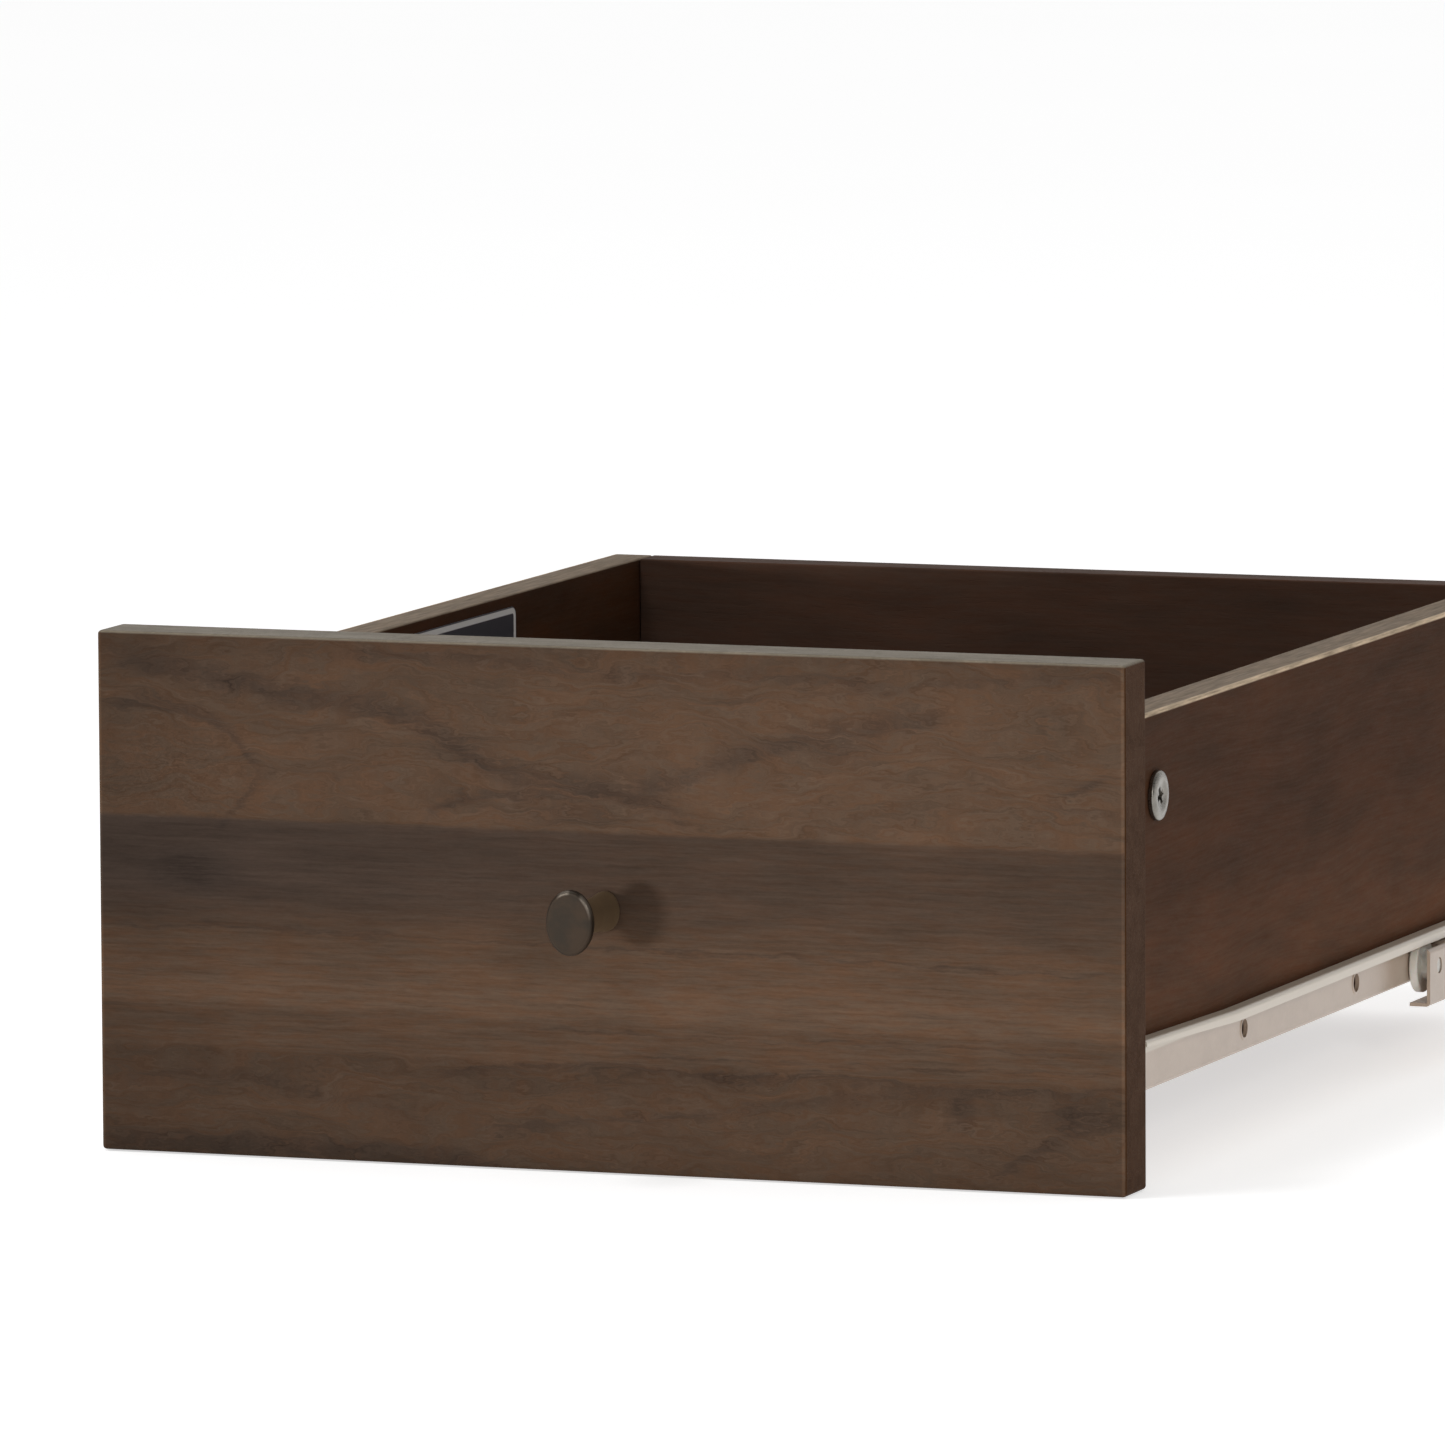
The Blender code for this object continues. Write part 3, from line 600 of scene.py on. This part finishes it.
def turned(name, profile, start, direction, segments=72, ring=False):
    """A turned piece. The profile is (radius, height) from the top down its outer side."""
    mesh = bpy.data.meshes.new(name)
    count = len(profile)
    edges = [(i, (i + 1) % count) for i in range(count if ring else count - 1)]
    mesh.from_pydata([(radius, 0.0, height) for radius, height in profile], edges, [])
    obj = add_object(name, mesh)
    screw = obj.modifiers.new("turn", "SCREW")
    screw.steps = screw.render_steps = segments
    screw.use_merge_vertices = True
    screw.merge_threshold = 0.000005
    obj.location = start
    obj.rotation_euler = Vector(direction).to_track_quat("Z", "Y").to_euler()
    return applied(obj)


def drill(place, direction, radius, half_depth=0.004, segments=32):
    """A cutter for a round hole through a sheet."""
    profile = [(0, half_depth), (radius, half_depth), (radius, -half_depth), (0, -half_depth)]
    return turned("cut_hole", profile, place, direction, segments)


def arc(centre, radius, start_deg, end_deg, steps):
    """Points (radius, height) of an arc of a turned profile."""
    angles = [math.radians(start_deg + (end_deg - start_deg) * i / steps) for i in range(steps + 1)]
    return [(centre[0] + radius * math.cos(a), centre[1] + radius * math.sin(a)) for a in angles]


def bend(corners, radius, steps):
    """An open line through (x, z) corners with rounded inner corners."""
    line = [Vector(corners[0])]
    for before, corner, after in zip(corners, corners[1:], corners[2:]):
        before, corner, after = Vector(before), Vector(corner), Vector(after)
        start = corner + (before - corner).normalized() * radius
        end = corner + (after - corner).normalized() * radius
        centre = start + end - corner
        for step in range(steps + 1):
            turn = math.pi / 2 * step / steps
            line.append(centre + (start - centre) * math.cos(turn) + (end - centre) * math.sin(turn))
    line.append(Vector(corners[-1]))
    return line


def strip(name, sign, corners, y_places, ramp=None):
    """A folded strip of sheet steel along Y. Corners are (distance from X = 0, height).

    A ramp (height, rise, lip rise) lifts the front end's points above a height by the rise, and
    those at the height, which are the strip's free edge, by the lip rise.
    """
    places = [(sign * x, z) for x, z in corners]
    if sign > 0:
        places.reverse()
    bm = bmesh.new()
    verts = [bm.verts.new((x, y_places[0], z)) for x, z in bend(places, 0.0008, 8)]
    edges = [bm.edges.new(pair) for pair in zip(verts, verts[1:])]
    for y_from, y_to in zip(y_places, y_places[1:]):
        grown = bmesh.ops.extrude_edge_only(bm, edges=edges)["geom"]
        moved = [item for item in grown if isinstance(item, bmesh.types.BMVert)]
        edges = [item for item in grown if isinstance(item, bmesh.types.BMEdge)
                 and all(end in moved for end in item.verts)]
        bmesh.ops.translate(bm, vec=(0, y_to - y_from, 0), verts=moved)
    if ramp:
        height, rise, lip_rise = ramp
        for vert in verts:
            if vert.co.z > height - 0.0001:
                vert.co.z += lip_rise if vert.co.z < height + 0.0001 else rise
    obj = object_from(name, bm)
    solidify = obj.modifiers.new("sheet", "SOLIDIFY")
    solidify.thickness = SHEET
    solidify.offset = 0.0
    solidify.use_even_offset = True
    return applied(obj)


def ease(obj, width, segments, angle=30):
    """Rounds the edges that are sharper than an angle."""
    bevel = obj.modifiers.new("ease", "BEVEL")
    bevel.width = width
    bevel.segments = segments
    bevel.limit_method = "ANGLE"
    bevel.angle_limit = math.radians(angle)
    return applied(obj)


def soften(obj, width=0.0, segments=3, angle=35):
    """Rounds the sharp edges and shades the rest smooth, with the flat faces kept flat."""
    if width:
        ease(obj, width, segments, angle)
    obj.data.shade_smooth()
    obj.data.set_sharp_from_angle(angle=math.radians(angle))
    weighted = obj.modifiers.new("even", "WEIGHTED_NORMAL")
    weighted.keep_sharp = True
    return obj


def coat(obj, look):
    obj.data.materials.clear()
    obj.data.materials.append(look)


def dress(obj, look, body, slot, *nodes):
    """Gives a new piece its material and body, and hides the CAD nodes that it stands for. slot is not
    used.
    """
    coat(obj, look)
    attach(obj, body)
    if nodes:
        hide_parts(*nodes)


# ------------------------------------------------ boards

GROOVE_DEPTH = 0.005
BOTTOM_LOW, BOTTOM_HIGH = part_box("bottom_panel")
GROOVE = (BOTTOM_LOW.z - GAP, BOTTOM_HIGH.z + GAP)
SIDE_LOW, SIDE_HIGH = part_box("right_side")
SIDE_INNER, SIDE_OUTER = SIDE_LOW.x, SIDE_HIGH.x
BACK_LOW, BACK_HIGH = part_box("back_panel")
GROOVE_END = BACK_LOW.y + GROOVE_DEPTH
# the sunk hole of a screw through the side: (radius, height) down from the side's face
SINK = [(0, 0.001), (0.0052, 0.001), (0.0042, 0), (0.0021, -0.0025), (0.0021, -0.013), (0, -0.013)]


def make_front():
    front = ease(box("front_board", FRONT_LOW, FRONT_HIGH), 0.0011, 5)
    reach = SIDE_INNER + GROOVE_DEPTH
    carve(front, [box("cut_front", (-reach, PANEL_BACK - GROOVE_DEPTH, GROOVE[0]),
                      (reach, PANEL_BACK + OVERSHOOT, GROOVE[1]))])
    dress(soften(front), front_walnut(), "drawer", "walnut_front", "front_panel")


def make_back():
    back = box("back_board", BACK_LOW, BACK_HIGH)
    carve(back, [box("cut_back", (-SIDE_OUTER, BACK_LOW.y - OVERSHOOT, GROOVE[0]),
                     (SIDE_OUTER, GROOVE_END, GROOVE[1]))])
    look = box_walnut("back_walnut", "x", 5, BACK_LOOK)
    dress(soften(back, 0.0005), look, "drawer", "walnut_box", "back_panel")


def make_side(side, sign, seed):
    board = side_box(side + "_board", sign, SIDE_INNER, SIDE_OUTER, (SIDE_LOW.y, SIDE_HIGH.y),
                     (SIDE_LOW.z, SIDE_HIGH.z))
    ease(board, 0.0006, 4)
    cutters = [side_box("cut_groove", sign, SIDE_INNER - OVERSHOOT, SIDE_INNER + GROOVE_DEPTH,
                        (SIDE_LOW.y - OVERSHOOT, GROOVE_END), GROOVE)]
    for number in (1, 2):
        middle = centre_of(f"{side}_back_screw_{number}")
        cutters.append(turned("cut_sink", SINK, (sign * SIDE_OUTER, middle.y, middle.z),
                              (sign, 0, 0), 40))
    carve(board, cutters)
    look = box_walnut(side + "_side_walnut", "y", seed, SIDE_LOOK, (SIDE_OUTER / MM, SIDE_HIGH.z / MM))
    dress(soften(board), look, "drawer", "walnut_box", side + "_side")


def make_bottom():
    bottom = box("bottom_board", BOTTOM_LOW, BOTTOM_HIGH)
    dress(soften(bottom, 0.0002, 2), hardboard(), "drawer", "hardboard", "bottom_panel")


# ------------------------------------------------ knob

def make_knob():
    """A button knob with a flat face, a rolled rim and a waisted neck that flares at its foot."""
    low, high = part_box("knob")
    reach = high.y - low.y
    radius = (high.z - low.z) / 2
    rim = 0.0010
    profile = [(0, reach - 0.0001), (radius - rim - 0.0009, reach - 0.0001),
               (radius - rim - 0.0004, reach - 0.0002)]
    profile += arc((radius - rim, reach - rim - 0.0002), rim, 75, 0, 10)
    profile += arc((radius - rim, reach - 0.0020), rim, 0, -62, 8)
    profile += [(0.0072, reach - 0.0034), (0.0060, reach - 0.0050), (0.0052, reach - 0.0076),
                (0.0048, reach - 0.0110), (0.0047, reach - 0.0150), (0.0048, 0.0100),
                (0.0049, 0.0075), (0.0051, 0.0050), (0.0054, 0.0028), (0.0056, 0.0012), (0.0056, 0),
                (0.0027, 0), (0.0027, 0.0090), (0, 0.0090)]
    knob = turned("button_knob", profile, (0, 0, 0), (0, -1, 0), 112)
    # the head is a little narrower than it is high
    knob.data.transform(Matrix.Diagonal(((high.x - low.x) / (high.z - low.z), 1, 1, 1)))
    knob.data.transform(Matrix.Translation((0, high.y, (low.z + high.z) / 2)))
    dress(soften(knob, angle=50), bronze(low, high), "drawer", "bronze", "knob")


# ------------------------------------------------ fittings

CROSS_TURN = 24         # how far a cross recess stands turned, in degrees
CAM_HEAD = 0.0018       # the cam's domed head, which stands proud of the side


def cross_cutters(centre, way, arm, width, top, depth):
    """Two crossed wedges for a cross recess, sunk from top to depth along way."""
    aim = Vector(way).to_track_quat("Z", "Y").to_matrix().to_4x4()
    spin = Matrix.Rotation(math.radians(CROSS_TURN), 4, "Z")
    cutters = []
    for half_long, half_wide in ((arm, width), (width, arm)):
        bm = bmesh.new()
        bmesh.ops.create_cube(bm, size=1.0)
        for vert in bm.verts:
            narrow = 0.55 if vert.co.z < 0 else 1.0
            vert.co.x *= 2 * half_long * narrow
            vert.co.y *= 2 * half_wide * narrow
            vert.co.z = top if vert.co.z > 0 else top - depth
        cutter = object_from("cut_recess", bm)
        cutter.matrix_world = Matrix.Translation(centre) @ aim @ spin
        cutters.append(cutter)
    return cutters


def screw(name, centre, way, profile, recess, look, node):
    """A turned fitting with a cross recess (arm, width, top, depth) in its head."""
    head = turned(name, profile, centre, way, 56)
    carve(head, cross_cutters(centre, way, *recess))
    dress(soften(head), look, "drawer", "zinc", node)


def make_cam(side, sign, look):
    """A cam fitting: a low dome with a raised ring, proud of the side."""
    low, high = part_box("right_cam")
    middle = (low + high) / 2
    rim = (high.z - low.z) / 2
    depth = high.x - low.x - CAM_HEAD
    profile = [(0, 0.00112), (0.0020, 0.00114), (0.0029, 0.00130), (0.0037, 0.00156),
               (0.0045, 0.00170), (0.0053, 0.00168), (0.0060, 0.00150)]
    profile += arc((rim - 0.0007, 0.00075), 0.0007, 65, 0, 7)
    profile += [(rim, 0), (0.0058, 0), (0.0058, -depth), (0, -depth)]
    screw(side + "_cam_fitting", (sign * (SIDE_OUTER + GAP), middle.y, middle.z), (sign, 0, 0),
          profile, (0.0030, 0.0010, 0.003, 0.0042), look, side + "_cam")


def make_back_screws(side, sign, look):
    """Countersunk screws through the side into the back."""
    for number in (1, 2):
        node = f"{side}_back_screw_{number}"
        low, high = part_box(node)
        middle = (low + high) / 2
        length = high.x - low.x
        profile = [(0, 0), (0.0036, 0), (0.0038, -0.0003), (0.0018, -0.0024),
                   (0.0018, -length + 0.003), (0.0006, -length), (0, -length)]
        screw(f"{side}_back_fixing_{number}", (sign * (SIDE_OUTER - GAP), middle.y, middle.z),
              (sign, 0, 0), profile, (0.0022, 0.0005, 0.001, 0.0026), look, node)


def make_runner_screws(side, look):
    """Round-headed screws up through the runner's ledge into the side."""
    for number in (1, 2, 3):
        node = f"{side}_runner_screw_{number}"
        low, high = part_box(node)
        middle = (low + high) / 2
        length = high.z - low.z
        profile = [(0, 0), (0.0012, -0.00005), (0.0024, -0.0003), (0.0031, -0.0008),
                   (0.0034, -0.0014), (0.0034, -0.0017), (0.0014, -0.0017),
                   (0.0014, -length + 0.0014), (0.0006, -length), (0, -length)]
        screw(f"{side}_runner_fixing_{number}", (middle.x, middle.y, low.z), (0, 0, -1), profile,
              (0.0020, 0.0005, 0.001, 0.0022), look, node)


def make_knob_screw(look):
    """A round-headed screw from inside the box through the front into the knob."""
    low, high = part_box("knob_screw")
    length = high.y - low.y
    profile = [(0, 0), (0.0016, -0.0001), (0.0030, -0.0005), (0.0038, -0.0012), (0.0040, -0.0018),
               (0.0040, -0.0026), (0.0018, -0.0026), (0.0018, -length), (0, -length)]
    screw("knob_fixing", (0, high.y, (low.z + high.z) / 2), (0, 1, 0), profile,
          (0.0024, 0.0006, 0.001, 0.0026), look, "knob_screw")


# ------------------------------------------------ runners

WEB_HOLE_FIRST = PANEL_BACK + 0.0970
WEB_HOLE_PITCH = 0.1014
WEB_HOLE_COUNT = 3
WEB_HOLE_RADIUS = 0.0026
WEB_HOLE_FALL = 0.42                # share of the way down from the lip's end to the ledge
LEDGE_HOLE_RADIUS = 0.0018
AXLE_HOLE_RADIUS = 0.0023
LIP_DROP = 0.0032
RAMP_LENGTH = 0.079
RAMP_RISE = 0.0017
RAMP_LIP_DROP = 0.0019
DESK_HOLES = (0.060, 0.188, 0.316)
DESK_HOLE_RADIUS = 0.0025
NOTCH = (0.020, 0.003)              # length along Y and depth below the channel's top
FRONT_STOP = (0.0040, 0.0030)       # length along Y and height above the channel's floor
BACK_STOP = (0.0012, 0.0100)


def finish_runner(runner, look, body, node):
    dress(soften(runner, 0.00018, 2, 50), look, body, "cream_enamel", node)


def hole_collar(name, place, way, radius, look, body):
    """The low pressed collar round a punched hole. way is the side of the sheet that it stands on."""
    profile = [(radius, 0.00026), (radius + 0.00022, 0.00030), (radius + 0.0006, 0.00022),
               (radius + 0.0010, -0.0002), (radius, -0.0002)]
    collar = turned(name, profile, place, (way, 0, 0), 48, ring=True)
    dress(soften(collar, angle=60), look, body, "cream_enamel")


def make_drawer_runner(side, sign, look):
    """A folded runner with a ledge, a web with holes, and an outward lip that ramps up in front."""
    low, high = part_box("right_drawer_runner")
    web = SIDE_OUTER + GAP + SHEET / 2
    lip = high.x - SHEET / 2
    runner_top = high.z - RAMP_RISE
    top, ledge = runner_top - SHEET / 2, low.z + SHEET / 2
    lip_end = runner_top - LIP_DROP
    corners = [(low.x, ledge), (web, ledge), (web, top), (lip, top), (lip, lip_end)]
    ramp = (lip_end, RAMP_RISE, RAMP_RISE + LIP_DROP - RAMP_LIP_DROP)
    runner = strip(side + "_drawer_rail", sign, corners, (low.y, low.y + RAMP_LENGTH, high.y), ramp)
    middle = lip_end - (lip_end - ledge) * WEB_HOLE_FALL
    places = [WEB_HOLE_FIRST + number * WEB_HOLE_PITCH for number in range(WEB_HOLE_COUNT)]
    cutters = [drill((sign * web, y, middle), (1, 0, 0), WEB_HOLE_RADIUS, segments=48) for y in places]
    for number in (1, 2, 3):
        spot = centre_of(f"{side}_runner_screw_{number}")
        cutters.append(drill((spot.x, spot.y, ledge), (0, 0, 1), LEDGE_HOLE_RADIUS, 0.003))
    axle = centre_of(f"{side}_rear_roller")
    cutters.append(drill((sign * web, axle.y, axle.z), (1, 0, 0), AXLE_HOLE_RADIUS))
    carve(runner, cutters)
    finish_runner(runner, look, "drawer", side + "_drawer_runner")
    for number, y in enumerate(places, 1):
        hole_collar(f"{side}_hole_collar_{number}", (sign * (web + SHEET / 2), y, middle), sign,
                    WEB_HOLE_RADIUS, look, "drawer")


def make_desk_runner(side, sign, look):
    """A channel with a notch at its mouth, and stops for the drawer's rear roller."""
    low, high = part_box("right_desk_runner")
    web = high.x - SHEET / 2
    top, bottom = high.z - SHEET / 2, low.z + SHEET / 2
    corners = [(low.x, bottom), (web, bottom), (web, top), (low.x, top)]
    runner = strip(side + "_desk_rail", sign, corners, (low.y, high.y))
    middle = (low.z + high.z) / 2
    cutters = [side_box("cut_notch", sign, low.x - OVERSHOOT, high.x - SHEET - 0.0001,
                        (low.y - OVERSHOOT, low.y + NOTCH[0]), (high.z - NOTCH[1], high.z + OVERSHOOT))]
    cutters += [drill((sign * web, y, middle), (1, 0, 0), DESK_HOLE_RADIUS, segments=48)
                for y in DESK_HOLES]
    axle = centre_of(f"{side}_front_roller")
    cutters.append(drill((sign * web, axle.y, axle.z), (1, 0, 0), AXLE_HOLE_RADIUS))
    carve(runner, cutters)
    # at full travel the rear roller, whose box is the one at rest, comes up to the front stop
    slide = next(joint for joint in frame["joints"] if joint["name"] == "drawer_slide")
    stop_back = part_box("right_rear_roller")[0].y - slide["range_m"][1] - GAP
    stops = [side_box("add_stop", sign, low.x + 0.0005, web, (end - length, end),
                      (bottom, low.z + SHEET + height))
             for end, (length, height) in ((stop_back, FRONT_STOP), (high.y, BACK_STOP))]
    carve(runner, stops, "UNION")
    finish_runner(runner, look, "desk_runners", side + "_desk_runner")
    for number, y in enumerate(DESK_HOLES, 1):
        hole_collar(f"{side}_desk_collar_{number}", (sign * (high.x - SHEET), y, middle), -sign,
                    DESK_HOLE_RADIUS, look, "desk_runners")


# ------------------------------------------------ rollers

ROLLER_HUB = 0.0037
ROLLER_EDGE = 0.0006
ROLLER_DISH = 0.0012                # how far the side faces stop short of the tread's radius
TREAD_WIDTH = 0.0026                # of the front roller, whose other end is a plain hub
COUNTERBORE = 0.0013


def rounded_rim(radius, width):
    """Both rounded edges of a tread, from its face at the width down to its face at 0."""
    centre = radius - ROLLER_EDGE
    return (arc((centre, width - ROLLER_EDGE), ROLLER_EDGE, 80, 0, 6)
            + arc((centre, ROLLER_EDGE), ROLLER_EDGE, 0, -80, 6))


def front_profile(radius, width):
    """A narrow tread with a hub, and a counterbore for the rivet on the tread's side."""
    shoulder = TREAD_WIDTH - 0.0004
    return ([(AXLE_HOLE_RADIUS, width), (0.0039, width), (0.0042, width - 0.0003), (0.0042, TREAD_WIDTH),
             (0.0052, shoulder), (radius - 0.0014, shoulder), (radius - 0.0010, TREAD_WIDTH)]
            + rounded_rim(radius, TREAD_WIDTH)
            + [(radius - ROLLER_DISH, 0), (ROLLER_HUB, 0), (ROLLER_HUB, COUNTERBORE),
               (AXLE_HOLE_RADIUS, COUNTERBORE)])


def rear_profile(radius, width):
    """A tread as wide as the roller, with the counterbore on its outboard side."""
    return ([(ROLLER_HUB, width), (radius - ROLLER_DISH, width)]
            + rounded_rim(radius, width)
            + [(radius - ROLLER_DISH, 0), (AXLE_HOLE_RADIUS, 0), (AXLE_HOLE_RADIUS, width - COUNTERBORE),
               (ROLLER_HUB, width - COUNTERBORE)])


def make_roller(side, sign, which, profile_of, look):
    """A nylon wheel that turns on its rivet. Its profile starts at its outboard face."""
    node = f"{side}_{which}_roller"
    low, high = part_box(node)
    centre = (low + high) / 2
    inboard = low.x if sign > 0 else high.x
    profile = profile_of((high.z - low.z) / 2, high.x - low.x)
    wheel = turned(f"{side}_{which}_wheel", profile, (inboard, centre.y, centre.z), (sign, 0, 0),
                   ring=True)
    dress(soften(wheel, angle=50), look, node, "nylon", node)


def make_rivet(side, which, way, carrier, look):
    """A rivet with a domed head in the roller's counterbore. way is the side that its head faces."""
    node = f"{side}_{which}_rivet"
    low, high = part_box(node)
    axle = centre_of(f"{side}_{which}_roller")
    length = high.x - low.x
    start = low.x if way < 0 else high.x
    profile = [(0, 0), (0.0014, -0.00006), (0.0024, -0.00022), (0.0030, -0.00048), (0.0032, -0.0008),
               (0.0020, -0.0008), (0.0020, -length), (0, -length)]
    rivet = turned(f"{side}_{which}_axle_rivet", profile, (start, axle.y, axle.z), (way, 0, 0), 48)
    dress(soften(rivet, angle=50), look, carrier, "zinc", node)


# ------------------------------------------------ label

def make_label():
    """A blank film with rounded corners on the left side's inner face."""
    low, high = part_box("blank_label")
    half_y, half_z = (high.y - low.y) / 2, (high.z - low.z) / 2
    centre = (low + high) / 2
    corner = 0.003
    bm = bmesh.new()
    verts = []
    for turn, (sy, sz) in enumerate(((1, 1), (-1, 1), (-1, -1), (1, -1))):
        middle = (centre.y + sy * (half_y - corner), centre.z + sz * (half_z - corner))
        for y, z in arc(middle, corner, 90 * turn, 90 * turn + 90, 8):
            verts.append(bm.verts.new((low.x, y, z)))
    face = bm.faces.new(verts)
    grown = bmesh.ops.extrude_face_region(bm, geom=[face])["geom"]
    bmesh.ops.translate(bm, vec=(high.x - low.x, 0, 0),
                        verts=[item for item in grown if isinstance(item, bmesh.types.BMVert)])
    bmesh.ops.recalc_face_normals(bm, faces=bm.faces)
    label = object_from("label_sheet", bm)
    look = film(centre, (half_y / MM, half_z / MM), corner / MM, 1.9)
    dress(soften(label, 0.00008, 2), look, "drawer", "label_film", "blank_label")


# ------------------------------------------------ stage and light

WHITE = rgb(1, 1, 1)
WARM_WHITE = (1.0, 0.985, 0.965)
COOL_WHITE = (0.97, 0.985, 1.0)
FLOOR_HALF = 24.0
FLOOR_DROP = 0.0004


def make_stage():
    """A white studio floor, lit from within so that it stays white far behind the drawer."""
    bm = bmesh.new()
    bmesh.ops.create_grid(bm, x_segments=12, y_segments=12, size=FLOOR_HALF)
    bmesh.ops.translate(bm, vec=(0, 0, -FLOOR_DROP), verts=bm.verts)
    floor = object_from("floor", bm)
    graph = Graph("floor_paint")
    patch = graph.mottle(0.002, 0.002, 0.0, 2)
    graph.set(Base_Color=graph.mix(patch, rgb(0.82, 0.82, 0.82), rgb(0.79, 0.79, 0.79)),
              Roughness=0.8, Specular_IOR_Level=0.0, Emission_Color=WHITE, Emission_Strength=0.58)
    coat(floor, graph.material)


def area_light(name, place, target, size, power, colour):
    data = bpy.data.lights.new(name, "AREA")
    data.shape = "RECTANGLE"
    data.size, data.size_y = size
    data.energy = power
    data.color = colour
    light = add_object(name, data)
    light.location = place
    light.rotation_euler = (Vector(target) - Vector(place)).to_track_quat("-Z", "Y").to_euler()


def make_walls():
    """White walls, brightest behind the drawer and dimmest on its right."""
    world = bpy.data.worlds.new("studio")
    bpy.context.scene.world = world
    world.use_nodes = True
    nodes, link = world.node_tree.nodes, world.node_tree.links.new
    nodes.clear()
    split = nodes.new("ShaderNodeSeparateXYZ")
    link(nodes.new("ShaderNodeTexCoord").outputs["Generated"], split.inputs[0])
    product = nodes.new("ShaderNodeMath")
    product.operation = "MULTIPLY"
    for factor, axis, levels in ((product.inputs[0], "Y", (-0.3, 0.7, 0.32, 1.05)),
                                 (product.inputs[1], "X", (-0.2, 0.9, 1.0, 0.35))):
        ramp = nodes.new("ShaderNodeMapRange")
        link(split.outputs[axis], ramp.inputs["Value"])
        for socket, value in zip(ramp.inputs[1:5], levels):
            socket.default_value = value
        link(ramp.outputs[0], factor)
    background = nodes.new("ShaderNodeBackground")
    background.inputs["Color"].default_value = WHITE
    link(product.outputs[0], background.inputs["Strength"])
    link(background.outputs[0], nodes.new("ShaderNodeOutputWorld").inputs["Surface"])


def make_lights():
    """A low key light from the front left, a small fill from the right and a soft one above."""
    area_light("key", (-2.0, -5.5, 0.16), (0, -0.2, 0.07), (0.8, 0.30), 146, WARM_WHITE)
    area_light("fill", (1.5, -2.0, 0.9), (0.1, -0.2, 0.07), (0.35, 0.35), 11, WARM_WHITE)
    area_light("top", (-0.5, -0.7, 1.9), (0, -0.1, 0.07), (0.5, 0.5), 10, COOL_WHITE)
    bpy.context.scene.view_settings.view_transform = "Standard"


# ------------------------------------------------ assembly

def main():
    make_camera()
    make_front()
    make_back()
    for seed, (side, sign) in enumerate(SIDES, 2):
        make_side(side, sign, seed)
    make_bottom()
    make_knob()

    zinc_plate = zinc("zinc_plate", rgb(0.56, 0.54, 0.50), rgb(0.34, 0.32, 0.29), 2.0)
    cam_zinc = zinc("cam_zinc", rgb(0.34, 0.32, 0.29), rgb(0.13, 0.118, 0.10), 1.2)
    dowel_wood = beech()
    for side, sign in SIDES:
        make_cam(side, sign, cam_zinc)
        # the cam bolts and dowels are hidden, so they keep their CAD meshes
        coat(frame["nodes"][side + "_cam_bolt"], zinc_plate)
        for number in (1, 2):
            coat(frame["nodes"][f"{side}_dowel_{number}"], dowel_wood)
    for side, sign in SIDES:
        make_back_screws(side, sign, zinc_plate)
        make_runner_screws(side, zinc_plate)
    make_knob_screw(zinc_plate)

    cream = enamel(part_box("right_drawer_runner")[1].z - RAMP_RISE - LIP_DROP)
    for side, sign in SIDES:
        make_drawer_runner(side, sign, cream)
        make_desk_runner(side, sign, cream)
    plastic = nylon()
    for side, sign in SIDES:
        make_roller(side, sign, "front", front_profile, plastic)
        make_rivet(side, "front", -sign, "desk_runners", zinc_plate)
        make_roller(side, sign, "rear", rear_profile, plastic)
        make_rivet(side, "rear", sign, "drawer", zinc_plate)

    make_label()
    make_stage()
    make_walls()
    make_lights()


main()
for kept in frame["nodes"].values():
    if not kept.data.materials:
        raise RuntimeError(kept.name + " has no material")
